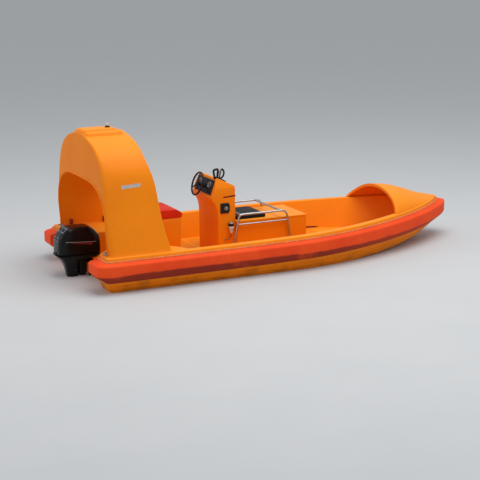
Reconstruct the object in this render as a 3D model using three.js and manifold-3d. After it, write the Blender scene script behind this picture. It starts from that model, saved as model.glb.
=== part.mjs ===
// A six metre open rescue boat: foam-filled hull, deck moulding, foam fender, righting arch,
// bow hood, console, seat box and a tilting outboard motor.
// Millimetres. X points forward, Y to port, Z up. The origin is amidships, on the waterline.
import * as THREE from "three";
import { mergeVertices } from "three/addons/utils/BufferGeometryUtils.js";
import Module from "manifold-3d";

const wasm = await Module();
wasm.setup();

// Driving dimensions of the whole boat
const BOW_LENGTH = 3150; // from amidships to the nose of the fender
const HALF_BEAM = 1297; // to the outside of the fender
const BOW_NOSE_POWER = 1.653;
const BOW_SIDE_POWER = 1.403;
const NOSE_INSET_RATIO = 1.25; // the fender is that much thicker at the nose
const NOSE_EXTRA = 50; // and by this besides
const STERN_EXTRA = 62; // its end at the stern is thicker by this
const FENDER_THICKNESS = 84;
const FENDER_FACE_DEPTH = 150; // upright outer face, down from the upper edge
const FENDER_FOOT_DEPTH = 237; // where its lower slope meets the hull
const FENDER_ROOT_RISE = 39; // where its upper slope meets the gunwale
const FIT_GAP = 0.4; // between two mouldings that touch
const SKIN = 15; // thickness of the deck moulding
const FLOOR_Z = 105;
const FLOOR_THICKNESS = 25;
const KEEL_Z = -370;
const DECK_RISE = 85; // from the fender's upper edge to the top of the gunwale
const GUNWALE_OUTER = 116;
const GUNWALE_INNER = 214;
const WALL_FOOT = 330;
const FLOOR_NOSE_INSET = 700;
const AFT_DECK_Z = 480;

// Sheer line of the fender's upper outer edge, as a cubic in the fraction of the length
const SHEER = { start: -3035, length: 6185, base: 397, linear: -23, square: 32, cube: 122 };

// Where the plan curve turns the stern corner: place, and its move for each millimetre of inset
const STERN_CORNERS = [
  { x: -3035, y: 870, moveX: 1, moveY: 0 },
  { x: -3035, y: 1220, moveX: 1, moveY: -0.5809 },
  { x: -2900, y: 1297, moveX: 0.2652, moveY: -1 },
];
const SIDE_STATIONS = [-2300, -1700, -1000, -400, 0];
const BOW_STEPS = 15;

const MOTOR_WELL = {
  aftX: -2889,
  aftY: 870,
  neckX: -2475,
  neckY: 385,
  forwardX: -2130,
  floorZ: 20,
  skin: 12,
};
const TRANSOM = { aftX: -2750, forwardX: -2705, topZ: 165 };
const POD_FRONT = [
  [-1850, 828],
  [-1782, 888],
  [-1731, 984],
  [-1690, 1090],
  [-1680, 1180],
];

const TILT_AXIS = { x: -2725, z: 205 };
const STEER_X = -2870;

const orange = { color: 0xe87f1a, roughness: 0.38, metalness: 0 };
const fenderRed = { color: 0xe2502c, roughness: 0.6, metalness: 0 };
const steel = { color: 0xc9ccce, roughness: 0.2, metalness: 1 };
const black = { color: 0x141416, roughness: 0.4, metalness: 0 };
const bareAlloy = { color: 0x8d9194, roughness: 0.4, metalness: 1 };
const seatRed = { color: 0xc22a1c, roughness: 0.7, metalness: 0 };
const padBlack = { color: 0x1c1c1e, roughness: 0.8, metalness: 0 };
const clearLens = { color: 0xf2f2ee, roughness: 0.15, metalness: 0 };

const boat = new THREE.Group();

// Turns a closed geometry into a solid, the right way out
function toSolid(geometry) {
  const bare = new THREE.BufferGeometry().setAttribute("position", geometry.getAttribute("position"));
  if (geometry.index) bare.setIndex(geometry.index);
  const merged = mergeVertices(bare, 1e-3);
  const corners = merged.index.array;
  const kept = [];
  for (let i = 0; i < corners.length; i += 3) {
    const [a, b, c] = [corners[i], corners[i + 1], corners[i + 2]];
    if (a !== b && b !== c && c !== a) kept.push(a, b, c);
  }
  const vertProperties = merged.attributes.position.array;
  const solid = solidFrom(vertProperties, kept);
  if (solid.volume() > 0) return solid;
  for (let i = 0; i < kept.length; i += 3) [kept[i + 1], kept[i + 2]] = [kept[i + 2], kept[i + 1]];
  return solidFrom(vertProperties, kept);
}

function solidFrom(vertProperties, triangles) {
  const triVerts = new Uint32Array(triangles);
  return new wasm.Manifold(new wasm.Mesh({ numProp: 3, vertProperties, triVerts }));
}

function toGeometry(solid) {
  const mesh = solid.getMesh();
  const places = new Float32Array(mesh.numVert * 3);
  for (let i = 0; i < mesh.numVert; i++) {
    places.set(mesh.vertProperties.subarray(i * mesh.numProp, i * mesh.numProp + 3), i * 3);
  }
  const geometry = new THREE.BufferGeometry();
  geometry.setAttribute("position", new THREE.BufferAttribute(places, 3));
  geometry.setIndex(new THREE.BufferAttribute(mesh.triVerts, 1));
  geometry.computeVertexNormals();
  return geometry;
}

// Adds one named piece to the boat
function piece(name, solid, finish) {
  const mesh = new THREE.Mesh(toGeometry(solid), new THREE.MeshStandardMaterial(finish));
  mesh.name = name;
  boat.add(mesh);
}

// The triangles of one flat or nearly flat end of a loft
function endCap(loop, offset) {
  const normal = new THREE.Vector3();
  loop.forEach((point, i) => {
    const next = loop[(i + 1) % loop.length];
    normal.x += (point[1] - next[1]) * (point[2] + next[2]);
    normal.y += (point[2] - next[2]) * (point[0] + next[0]);
    normal.z += (point[0] - next[0]) * (point[1] + next[1]);
  });
  const sizes = [Math.abs(normal.x), Math.abs(normal.y), Math.abs(normal.z)];
  const drop = sizes.indexOf(Math.max(...sizes));
  const [u, v] = [(drop + 1) % 3, (drop + 2) % 3];
  const flat = loop.map((point) => new THREE.Vector2(point[u], point[v]));
  const forward = THREE.ShapeUtils.area(flat) * normal.getComponent(drop) > 0;
  const faces = THREE.ShapeUtils.triangulateShape(flat, []);
  return faces.map((face) => (forward ? face : [face[0], face[2], face[1]]).map((i) => i + offset));
}

// A closed solid through a row of closed loops that have like numbers of points
function loft(loops, capStart = true, capEnd = true) {
  const count = loops[0].length;
  const places = loops.flat(2);
  const triangles = [];
  for (let row = 0; row < loops.length - 1; row++) {
    for (let i = 0; i < count; i++) {
      const next = (i + 1) % count;
      const [a, b] = [row * count + i, row * count + next];
      const [c, d] = [a + count, b + count];
      triangles.push([a, b, d], [a, d, c]);
    }
  }
  if (capStart) triangles.push(...endCap(loops[0], 0).map((face) => [face[0], face[2], face[1]]));
  if (capEnd) triangles.push(...endCap(loops[loops.length - 1], (loops.length - 1) * count));
  const geometry = new THREE.BufferGeometry();
  geometry.setAttribute("position", new THREE.BufferAttribute(new Float32Array(places), 3));
  geometry.setIndex(orient(triangles).flat());
  return toSolid(geometry);
}

// Caps follow the winding of their own loop, so both ends are checked against the side faces
function orient(triangles) {
  const directed = new Map();
  const out = [];
  const key = (a, b) => a + "_" + b;
  for (const face of triangles) {
    const clash = [0, 1, 2].some((i) => directed.has(key(face[i], face[(i + 1) % 3])));
    const turned = clash ? [face[0], face[2], face[1]] : face;
    [0, 1, 2].forEach((i) => directed.set(key(turned[i], turned[(i + 1) % 3]), true));
    out.push(turned);
  }
  return out;
}

const AXIS_BASIS = {
  x: [new THREE.Vector3(0, 1, 0), new THREE.Vector3(0, 0, 1), new THREE.Vector3(1, 0, 0)],
  y: [new THREE.Vector3(1, 0, 0), new THREE.Vector3(0, 0, 1), new THREE.Vector3(0, -1, 0)],
  z: [new THREE.Vector3(1, 0, 0), new THREE.Vector3(0, 1, 0), new THREE.Vector3(0, 0, 1)],
};

// An outline pushed along an axis. The outline is (y, z) for x, (x, z) for y and (x, y) for z
function prism(outline, axis, from, to) {
  const shape = new THREE.Shape(outline.map((point) => new THREE.Vector2(point[0], point[1])));
  const geometry = new THREE.ExtrudeGeometry(shape, { depth: to - from, bevelEnabled: false });
  geometry.translate(0, 0, axis === "y" ? -to : from);
  geometry.applyMatrix4(new THREE.Matrix4().makeBasis(...AXIS_BASIS[axis]));
  return toSolid(geometry);
}

function block(x0, x1, y0, y1, z0, z1) {
  const geometry = new THREE.BoxGeometry(x1 - x0, y1 - y0, z1 - z0);
  geometry.translate((x0 + x1) / 2, (y0 + y1) / 2, (z0 + z1) / 2);
  return toSolid(geometry);
}

// A turned shape: its profile is (radius, height) along a direction from a centre
function turned(profile, centre, direction, sides = 20) {
  const points = profile.map((point) => new THREE.Vector2(point[0], point[1]));
  const geometry = new THREE.LatheGeometry(points, sides);
  const turn = new THREE.Quaternion().setFromUnitVectors(
    new THREE.Vector3(0, 1, 0),
    new THREE.Vector3(...direction).normalize(),
  );
  geometry.applyQuaternion(turn);
  geometry.translate(...centre);
  return toSolid(geometry);
}

function rod(radius, start, end, sides = 20) {
  const [a, b] = [new THREE.Vector3(...start), new THREE.Vector3(...end)];
  const along = b.clone().sub(a);
  const length = along.length();
  return turned([[0, 0], [radius, 0], [radius, length], [0, length]], start, along.toArray(), sides);
}

// A round bar bent along a path of places
function bentBar(radius, places, steps, sides = 12, tension = 0.5) {
  const points = places.map((place) => new THREE.Vector3(...place));
  const path = new THREE.CatmullRomCurve3(points, false, "catmullrom", tension);
  const section = new THREE.Shape();
  section.absarc(0, 0, radius, 0, Math.PI * 2);
  const geometry = new THREE.ExtrudeGeometry(section, { steps, extrudePath: path, curveSegments: sides });
  return toSolid(geometry);
}

// A path through corners that are rounded from a distance, the cut, before and after each corner
function roundedPath(corners, cuts) {
  const out = [corners[0]];
  for (let i = 1; i < corners.length - 1; i++) {
    const cut = cuts[i - 1];
    const here = new THREE.Vector3(...corners[i]);
    const before = new THREE.Vector3(...corners[i - 1]).sub(here).normalize().multiplyScalar(cut).add(here);
    const after = new THREE.Vector3(...corners[i + 1]).sub(here).normalize().multiplyScalar(cut).add(here);
    const bend = new THREE.QuadraticBezierCurve3(before, here, after);
    bend.getPoints(5).forEach((point) => out.push(point.toArray()));
  }
  out.push(corners[corners.length - 1]);
  return out;
}

// A round bar along straight stretches and given bends
function pipe(radius, corners, cuts, sides = 12) {
  const places = roundedPath(corners, cuts).map((place) => new THREE.Vector3(...place));
  const loops = places.map((place, i) => {
    const before = places[Math.max(i - 1, 0)];
    const after = places[Math.min(i + 1, places.length - 1)];
    return ringAround(place, after.clone().sub(before).normalize(), radius, sides);
  });
  return loft(loops);
}

function ringAround(centre, along, radius, sides) {
  const reference = Math.abs(along.z) > 0.95 ? new THREE.Vector3(1, 0, 0) : new THREE.Vector3(0, 0, 1);
  const across = new THREE.Vector3().crossVectors(along, reference).normalize();
  const up = new THREE.Vector3().crossVectors(across, along).normalize();
  return Array.from({ length: sides }, (_, i) => {
    const angle = (i / sides) * Math.PI * 2;
    const place = centre.clone().addScaledVector(across, radius * Math.cos(angle));
    return place.addScaledVector(up, radius * Math.sin(angle)).toArray();
  });
}

function joined(...solids) {
  return solids.reduce((whole, next) => whole.add(next));
}

function mirrored(outline) {
  return [...outline, ...outline.slice().reverse().map((point) => [point[0], -point[1]])];
}

// A closed outline moved inwards by a distance
function shrunk(outline, distance) {
  const area = THREE.ShapeUtils.area(outline.map((point) => new THREE.Vector2(...point)));
  const side = Math.sign(area);
  return outline.map((point, i) => {
    const before = outline[(i + outline.length - 1) % outline.length];
    const after = outline[(i + 1) % outline.length];
    const first = new THREE.Vector2(point[0] - before[0], point[1] - before[1]).normalize();
    const second = new THREE.Vector2(after[0] - point[0], after[1] - point[1]).normalize();
    const normals = [first, second].map((edge) => new THREE.Vector2(-edge.y * side, edge.x * side));
    const sum = normals[0].clone().add(normals[1]);
    const scale = distance / (1 + normals[0].dot(normals[1]));
    return [point[0] + sum.x * scale, point[1] + sum.y * scale];
  });
}

// Plan curves of the boat, from the stern corner to the nose, all with like numbers of points
function bowPoint(semiLength, semiBeam, turn) {
  const forward = Math.cos(turn) ** 2;
  const across = Math.sin(turn) ** 2;
  return [semiLength * forward ** (1 / BOW_NOSE_POWER), semiBeam * across ** (1 / BOW_SIDE_POWER)];
}

function noseInsetOf(inset) {
  return inset * NOSE_INSET_RATIO + NOSE_EXTRA * Math.min(inset / FENDER_THICKNESS, 1);
}

function planRing(inset, noseInset = noseInsetOf(inset)) {
  const corners = STERN_CORNERS.map((corner) => {
    return [corner.x + corner.moveX * inset, corner.y + corner.moveY * inset];
  });
  const extra = STERN_EXTRA * Math.min(inset / FENDER_THICKNESS, 1);
  corners[0][0] += extra;
  corners[1][0] += extra;
  const chamferGone = corners[2][0] < corners[1][0];
  if (chamferGone) corners[2] = corners[1] = [corners[1][0], HALF_BEAM - inset];
  const side = SIDE_STATIONS.map((x) => [x, HALF_BEAM - inset]);
  const bow = Array.from({ length: BOW_STEPS }, (_, i) => {
    const turn = (Math.PI / 2) * (1 - (i + 1) / BOW_STEPS);
    return bowPoint(BOW_LENGTH - noseInset, HALF_BEAM - inset, Math.max(turn, 0));
  });
  bow[BOW_STEPS - 1][1] = 0;
  return [...corners, ...side, ...bow];
}

function sheerZ(x) {
  const part = (x - SHEER.start) / SHEER.length;
  return SHEER.base + SHEER.linear * part + SHEER.square * part ** 2 + SHEER.cube * part ** 3;
}

const EDGE = planRing(0);

// A section carried round the boat. Its columns are inset, rise above the sheer (or flat z), nose inset
function carried(section, wholeWay) {
  const rings = section.map((corner) => planRing(corner.inset, corner.noseInset));
  const port = EDGE.map((edge, i) =>
    section.map((corner, k) => {
      const z = corner.z === undefined ? sheerZ(edge[0]) + corner.rise : corner.z;
      return [rings[k][i][0], rings[k][i][1], z];
    }),
  );
  if (!wholeWay) return port;
  const starboard = port.slice(0, -1).reverse();
  return [...port, ...starboard.map((loop) => loop.map(([x, y, z]) => [x, -y, z]))];
}

// Stern pods and motor well
const wellOutline = mirrored([
  [TRANSOM.forwardX, wellHalfWidth(TRANSOM.forwardX)],
  [MOTOR_WELL.neckX, MOTOR_WELL.neckY],
  [MOTOR_WELL.forwardX, MOTOR_WELL.neckY],
]);

function wellHalfWidth(x) {
  const part = (x - MOTOR_WELL.aftX) / (MOTOR_WELL.neckX - MOTOR_WELL.aftX);
  return MOTOR_WELL.aftY + (MOTOR_WELL.neckY - MOTOR_WELL.aftY) * part;
}

const openSternOutline = mirrored([
  [-3400, MOTOR_WELL.aftY],
  [MOTOR_WELL.aftX, MOTOR_WELL.aftY],
  [TRANSOM.aftX, wellHalfWidth(TRANSOM.aftX)],
]);

const podOutline = mirrored([[-2420, 1180], ...POD_FRONT.slice().reverse()]);

const HULL_EDGE_RISE = 30; // its top edge above the fender's upper edge

// The hull moulding with its foam: loops from the keel over chine, spray rail and side to its top edge
function hullLoops() {
  const joint = planRing(FENDER_THICKNESS + FIT_GAP);
  const sternFeet = [
    { keelX: -2750, chineX: -2815, chineY: 1085 },
    { keelX: -2745, chineX: -2812, chineY: 1090 },
    { keelX: -2700, chineX: -2770, chineY: 1120 },
  ];
  return EDGE.map((edge, i) => {
    const top = [joint[i][0], joint[i][1], sheerZ(edge[0]) + HULL_EDGE_RISE];
    const low = [joint[i][0], joint[i][1], sheerZ(edge[0]) - FENDER_FOOT_DEPTH];
    const foot = sternFeet[i];
    const keel = foot ? [foot.keelX, 0, KEEL_Z] : keelPoint(i, edge);
    const chine = foot ? [foot.chineX, foot.chineY, CHINE.z] : chinePoint(i, edge);
    const side = sprayRail(low, chine);
    const port = [chine, ...side.reverse(), low, top];
    const starboard = port.slice().reverse().map((point) => [point[0], -point[1], point[2]]);
    return [keel, ...port, ...starboard];
  });
}

const CHINE = { halfBeam: 1120, noseX: 2815, z: -12, rise: 182, power: 2.4 };
const KEEL = { noseX: 2620, rise: 430, power: 3.2 };

function bowTurn(i) {
  const step = i - STERN_CORNERS.length - SIDE_STATIONS.length + 1;
  return (Math.PI / 2) * (1 - Math.max(step, 0) / BOW_STEPS);
}

function keelPoint(i, edge) {
  if (edge[0] <= 0) return [edge[0], 0, KEEL_Z];
  const x = bowPoint(KEEL.noseX, 1, bowTurn(i))[0];
  return [x, 0, KEEL_Z + KEEL.rise * (x / KEEL.noseX) ** KEEL.power];
}

function chinePoint(i, edge) {
  if (edge[0] <= 0) return [edge[0], CHINE.halfBeam, CHINE.z];
  const [x, y] = bowPoint(CHINE.noseX, CHINE.halfBeam, bowTurn(i));
  const last = i === EDGE.length - 1;
  return [x, last ? 0 : y, CHINE.z + CHINE.rise * (x / CHINE.noseX) ** CHINE.power];
}

// A small step along the side, as fractions of the way down and how far it stands out
const SPRAY_RAIL = [
  { down: 0.4, out: 1 },
  { down: 0.46, out: 1.013 },
  { down: 0.5, out: 1 },
];

function sprayRail(low, chine) {
  return SPRAY_RAIL.map((row) => {
    const mix = low.map((value, k) => value + (chine[k] - value) * row.down);
    return [mix[0] * (mix[0] > 0 ? 1 + (row.out - 1) / 3 : 1), mix[1] * row.out, mix[2]];
  });
}

// The open space of the cockpit as the hull sees it
function cockpitSpace(extra) {
  const section = [
    { inset: GUNWALE_INNER - SKIN - FIT_GAP - extra, rise: 300 },
    { inset: GUNWALE_INNER - SKIN - FIT_GAP - extra, rise: DECK_RISE - SKIN },
    {
      inset: WALL_FOOT - SKIN - FIT_GAP - extra,
      z: FLOOR_Z - FLOOR_THICKNESS - FIT_GAP,
      noseInset: FLOOR_NOSE_INSET - SKIN,
    },
  ];
  const whole = carried(section, false).map((loop) => {
    const starboard = loop.slice().reverse().map(([x, y, z]) => [x, -y, z]);
    return [...loop, ...starboard];
  });
  return loft(whole);
}

function makeHull() {
  const pods = prism(shrunk(podOutline, SKIN + FIT_GAP), "z", -500, 900);
  const well = prism(wellOutline, "z", MOTOR_WELL.floorZ, 900);
  const openStern = prism(openSternOutline, "z", -600, 900);
  const width = wellHalfWidth(TRANSOM.forwardX);
  const sternNotch = block(TRANSOM.aftX - 20, TRANSOM.forwardX + 20, -width, width, TRANSOM.topZ, 900);
  const moulding = loft(hullLoops(), true, false).subtract(cockpitSpace(0).subtract(pods));
  return moulding.subtract(well).subtract(openStern).subtract(sternNotch);
}

function makeMotorWellLiner() {
  const outside = shrunk(wellOutline, FIT_GAP);
  const inside = shrunk(wellOutline, FIT_GAP + MOTOR_WELL.skin);
  const tray = prism(outside, "z", MOTOR_WELL.floorZ + FIT_GAP, AFT_DECK_Z - SKIN - FIT_GAP);
  const hollow = prism(inside, "z", MOTOR_WELL.floorZ + FIT_GAP + MOTOR_WELL.skin, 900);
  const width = wellHalfWidth(TRANSOM.forwardX) - MOTOR_WELL.skin * 2;
  const lowEdgeX = TRANSOM.forwardX + MOTOR_WELL.skin + 8;
  const lowAft = block(TRANSOM.forwardX - 30, lowEdgeX, -width, width, TRANSOM.topZ, 900);
  return tray.subtract(hollow).subtract(lowAft);
}

function makeDeckMoulding() {
  const gunwale = loft(carried([
    { inset: FENDER_THICKNESS + FIT_GAP, rise: FENDER_ROOT_RISE + 1 },
    { inset: GUNWALE_OUTER, rise: DECK_RISE },
    { inset: GUNWALE_INNER, rise: DECK_RISE },
    { inset: GUNWALE_INNER, rise: DECK_RISE - SKIN },
    { inset: GUNWALE_OUTER + 6, rise: DECK_RISE - SKIN },
    { inset: FENDER_THICKNESS + SKIN, rise: FENDER_ROOT_RISE + 1 },
  ], true));
  const wall = loft(carried([
    { inset: GUNWALE_INNER - SKIN, rise: DECK_RISE - 1 },
    { inset: GUNWALE_INNER - 0.5, rise: DECK_RISE - 1 },
    { inset: WALL_FOOT, z: FLOOR_Z - FLOOR_THICKNESS, noseInset: FLOOR_NOSE_INSET },
    { inset: WALL_FOOT - SKIN, z: FLOOR_Z - FLOOR_THICKNESS, noseInset: FLOOR_NOSE_INSET - SKIN },
  ], true));
  const behindFront = prism(shrunk(podOutline, SKIN / 2), "z", -500, 900);
  const sternPart = block(-3300, -2000, -1400, 1400, -500, 900);
  const cockpitWall = wall.subtract(behindFront).subtract(sternPart);
  const openStern = prism(openSternOutline, "z", -600, 900);
  return joined(gunwale, cockpitWall, makeAftDeck(), makePodFront()).subtract(openStern);
}

function makeAftDeck() {
  const outerY = HALF_BEAM - GUNWALE_INNER + 20;
  const [aftX, aftY] = planRing(GUNWALE_INNER - 20)[0];
  const front = POD_FRONT.slice(0, 4).reverse();
  const outline = mirrored([[aftX, aftY], [aftX, outerY], [-1685, outerY], ...front]);
  const plate = prism(outline, "z", AFT_DECK_Z - SKIN, AFT_DECK_Z);
  const overWell = prism(shrunk(wellOutline, FIT_GAP + 2), "z", 0, 900);
  const width = wellHalfWidth(TRANSOM.forwardX) - FIT_GAP;
  const aftNotch = block(-3400, TRANSOM.forwardX + 20, -width, width, 0, 900);
  return plate.subtract(overWell).subtract(aftNotch);
}

// The wall that closes the pods towards the cockpit
function makePodFront() {
  const zLow = FLOOR_Z - FLOOR_THICKNESS;
  const behind = prism(shrunk(podOutline, SKIN), "z", -500, 900);
  const strip = prism(podOutline, "z", zLow, AFT_DECK_Z - 2).subtract(behind);
  const forwardOnly = block(-1960, -1500, -1300, 1300, -500, 900);
  const inside = cockpitSpace(-FIT_GAP);
  return strip.intersect(forwardOnly).intersect(inside);
}

function makeCockpitFloor() {
  const wallSlope = (WALL_FOOT - GUNWALE_INNER) / (AFT_DECK_Z - FLOOR_Z + FLOOR_THICKNESS);
  const foot = WALL_FOOT + 0.6;
  const levels = [
    { z: FLOOR_Z - FLOOR_THICKNESS, inset: foot, nose: FLOOR_NOSE_INSET + 2 },
    { z: FLOOR_Z, inset: foot - wallSlope * FLOOR_THICKNESS, nose: FLOOR_NOSE_INSET - 14 },
  ];
  const loops = levels.map((level) => {
    const half = planRing(level.inset, level.nose).filter(([x]) => x > -2000);
    return mirrored(half.slice(0, -1)).map(([x, y]) => [x, y, level.z]);
  });
  return loft(loops).subtract(prism(growOutline(podOutline, FIT_GAP + 0.2), "z", -500, 900));
}

function growOutline(outline, distance) {
  return shrunk(outline, -distance);
}

// Fender
function makeFender(side) {
  const section = [
    { inset: 0, rise: 0 },
    { inset: 0, rise: -FENDER_FACE_DEPTH },
    { inset: FENDER_THICKNESS, rise: -FENDER_FOOT_DEPTH },
    { inset: FENDER_THICKNESS, rise: FENDER_ROOT_RISE },
  ];
  const loops = carried(section, false);
  return loft(loops.map((loop) => loop.map(([x, y, z]) => [x, Math.max(y, FIT_GAP) * side, z])));
}

// Righting arch: front view outlines as (half width, z), and the forward edge as (x, z)
const ARCH_BASE_Z = AFT_DECK_Z + 2; // the gunwale stands that much above the aft deck
const ARCH_AFT_X = -2830;
const ARCH_FOOT_LEAN = 25; // its aft edge comes forward by this at the foot
const ARCH_OUTER = [
  [1150, ARCH_BASE_Z],
  [1119, 640],
  [1080, 860],
  [1040, 1060],
  [1012, 1230],
  [978, 1400],
  [945, 1520],
  [895, 1625],
  [810, 1740],
  [700, 1830],
  [540, 1905],
  [340, 1960],
  [170, 1997],
];
const ARCH_INNER = [
  [1030, ARCH_BASE_Z - 50],
  [1030, 940],
  [1008, 1040],
  [960, 1136],
  [905, 1200],
  [850, 1250],
  [750, 1312],
  [630, 1356],
  [500, 1380],
  [340, 1390],
];
const ARCH_CROWN_Z = 2010;
const ARCH_FRONT = [
  [-1940, ARCH_BASE_Z - 60],
  [-1940, ARCH_BASE_Z],
  [-2036, 845],
  [-2080, 1200],
  [-2103, 1420],
  [-2145, 1585],
  [-2182, 1726],
  [-2191, 1860],
  [-2192, 1940],
  [-2212, 2005],
  [-2225, 2040],
];

function bothSides(outline, crown) {
  const port = outline.slice();
  const starboard = outline.slice().reverse().map(([y, z]) => [-y, z]);
  return crown ? [...port, [0, crown], ...starboard] : [...port, ...starboard];
}

function makeArch() {
  const front = prism(bothSides(ARCH_OUTER, ARCH_CROWN_Z), "x", ARCH_AFT_X, -1900);
  const opening = prism(bothSides(ARCH_INNER), "x", ARCH_AFT_X - 50, -1800);
  const aft = [[ARCH_AFT_X, 2040], [ARCH_AFT_X, 860], [ARCH_AFT_X + ARCH_FOOT_LEAN, ARCH_BASE_Z - 60]];
  const side = prism([...ARCH_FRONT, ...aft], "y", -1300, 1300);
  return front.subtract(opening).intersect(side);
}

const ARCH_PAD = { x0: -2830, x1: -2300, half: 130, top: 2048 };

function makeArchPad() {
  const { x0, x1, half, top } = ARCH_PAD;
  const outline = [[-half, 1985], [half, 1985], [half - 30, top], [-half + 30, top]];
  const archOutline = growOutline(bothSides(ARCH_OUTER, ARCH_CROWN_Z), FIT_GAP);
  const underside = prism(archOutline, "x", ARCH_AFT_X - 100, -1800);
  return prism(outline, "x", x0, x1).subtract(underside);
}

// Bow hood: its feet follow the gunwale, and its crest line is (x, z)
const HOOD_CREST = [
  [1800, 872],
  [1920, 866],
  [2000, 862],
  [2140, 848],
  [2400, 768],
  [2640, 678],
  [2850, 638],
  [2925, 611],
  [3000, 596],
];
const HOOD_SWEEP = 100; // how far the crown of the mouth stands forward of its feet
const HOOD_SWEEP_LENGTH = 700; // the sweep dies out over this length
const HOOD_FOOT_INSET = 128;
const HOOD_SHELL = 22;
const HOOD_POINTS = 9;
const HOOD_POWER = 0.78;
const HOOD_FIRST = EDGE.length - 9;

function crestZ(x) {
  const next = Math.max(HOOD_CREST.findIndex((row) => row[0] >= x), 1);
  const [[x0, z0], [x1, z1]] = [HOOD_CREST[next - 1], HOOD_CREST[next]];
  return z0 + ((z1 - z0) * (x - x0)) / (x1 - x0);
}

function hoodLoop(i, shell) {
  const ring = planRing(HOOD_FOOT_INSET + shell);
  const [x, footY] = ring[i];
  const footZ = sheerZ(EDGE[i][0]) + DECK_RISE + FIT_GAP;
  const sweep = HOOD_SWEEP * Math.max(1 - (x - ring[HOOD_FIRST][0]) / HOOD_SWEEP_LENGTH, 0);
  return Array.from({ length: HOOD_POINTS }, (_, k) => {
    const part = Math.cos((Math.PI * k) / (HOOD_POINTS - 1));
    const placeX = x + sweep * (1 - part ** 4);
    const height = Math.max(crestZ(placeX) - shell - footZ, 0);
    const rise = Math.max(1 - part * part, 0) ** HOOD_POWER;
    const atFoot = k === 0 || k === HOOD_POINTS - 1;
    const z = atFoot ? footZ - (shell ? 90 : 40) : footZ + height * rise;
    return [placeX, footY * part, z];
  });
}

// The top of the gunwale, a little raised, which trims the feet of the hood
function gunwaleTrim() {
  return loft(carried([
    { inset: GUNWALE_OUTER - 30, rise: DECK_RISE + FIT_GAP },
    { inset: GUNWALE_INNER + FIT_GAP, rise: DECK_RISE + FIT_GAP },
    { inset: WALL_FOOT + FIT_GAP, z: FLOOR_Z, noseInset: FLOOR_NOSE_INSET },
    { inset: GUNWALE_OUTER - 30, z: FLOOR_Z },
  ], true));
}

function makeBowHood() {
  const rows = Array.from({ length: EDGE.length - HOOD_FIRST }, (_, k) => HOOD_FIRST + k);
  const outer = loft(rows.map((i) => hoodLoop(i, 0)), true, false);
  const inner = rows.slice(0, -3).map((i) => hoodLoop(i, HOOD_SHELL));
  const mouth = inner[0].map(([x, y, z]) => [x - 60, y, z]);
  return outer.subtract(loft([mouth, ...inner])).subtract(gunwaleTrim());
}

// Console: side view as (x, z)
const CONSOLE_HALF = 350;
const CONSOLE_SIDE = [
  [-905, FLOOR_Z + FIT_GAP],
  [-905, 640],
  [-915, 777],
  [-945, 870],
  [-1005, 950],
  [-1000, 985],
  [-909, 1249],
  [-880, 1245],
  [-648, 1131],
  [-636, 1100],
  [-636, FLOOR_Z + FIT_GAP],
];
const DASH_NORMAL = [-0.9455, 0, 0.3257];
const DASH_CENTRE = [-957, 1110];

// The wide chamfer along both upper edges of the console, as (y, z)
const CONSOLE_CHAMFER = [[-CONSOLE_HALF - 1, 1100], [-CONSOLE_HALF - 1, 1300], [-268, 1300]];

function makeConsole() {
  const cuts = [1, -1].map((way) => {
    return prism(CONSOLE_CHAMFER.map(([y, z]) => [y * way, z]), "x", -1010, -600);
  });
  return prism(CONSOLE_SIDE, "y", -CONSOLE_HALF, CONSOLE_HALF).subtract(cuts[0]).subtract(cuts[1]);
}

function offDash(y, along, out) {
  const [nx, , nz] = DASH_NORMAL;
  return [DASH_CENTRE[0] + nz * along + nx * out, y, DASH_CENTRE[1] - nx * along + nz * out];
}

function makeDashPanel() {
  const flat = (along, out) => offDash(0, along, out).filter((_, i) => i !== 1);
  const outline = [flat(-110, 0.6), flat(110, 0.6), flat(110, 9), flat(-110, 9)];
  return prism(outline, "y", -290, 290);
}

const WHEEL = { out: 120, radius: 165, rim: 14, hub: 42 };

function makeSteeringColumn() {
  return rod(26, offDash(0, -10, 9.6), offDash(0, -10, WHEEL.out - 20.6));
}

function makeSteeringWheel() {
  const centre = offDash(0, -10, WHEEL.out);
  const rim = new THREE.TorusGeometry(WHEEL.radius, WHEEL.rim, 10, 36);
  const facing = new THREE.Vector3(...DASH_NORMAL);
  rim.applyQuaternion(new THREE.Quaternion().setFromUnitVectors(new THREE.Vector3(0, 0, 1), facing));
  rim.translate(...centre);
  const hub = turned([[0, -20], [WHEEL.hub, -20], [WHEEL.hub, 10], [24, 22], [0, 22]], centre, DASH_NORMAL);
  const spokes = [90, 210, 330].map((degrees) => {
    const angle = THREE.MathUtils.degToRad(degrees);
    const tip = offDash(WHEEL.radius * Math.cos(angle), -10 + WHEEL.radius * Math.sin(angle), WHEEL.out);
    return rod(9, centre, tip, 8);
  });
  return joined(hub, ...spokes, toSolid(rim));
}

// The bars over the throttle box, a frame and a loop handle, as (x, z)
const THROTTLE = { y: -262, bar: 14, cut: 20 };
const THROTTLE_BARS = [
  [[-912, 1240], [-934, 1364], [-862, 1376], [-874, 1250]],
  [[-846, 1240], [-824, 1350], [-796, 1374], [-766, 1320], [-792, 1254], [-838, 1240]],
];

function makeThrottle() {
  const console = prism(growOutline(CONSOLE_SIDE, FIT_GAP), "y", -400, 400);
  const base = block(-916, -835, -290, -230, 1200, 1262);
  const bars = THROTTLE_BARS.map((corners) => {
    const places = corners.map(([x, z]) => [x, THROTTLE.y, z]);
    return pipe(THROTTLE.bar, places, corners.slice(2).map(() => THROTTLE.cut), 10);
  });
  return joined(base, ...bars).subtract(console);
}

function makeSwitchPlate() {
  const y = -CONSOLE_HALF - FIT_GAP;
  const outline = [[-870, 742], [-744, 742], [-731, 784], [-731, 846], [-744, 890], [-870, 890]];
  const plate = prism(outline, "y", y - 14, y);
  const knob = rod(24, [-786, y - 13, 812], [-786, y - 34, 812]);
  return plate.add(knob);
}

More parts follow.
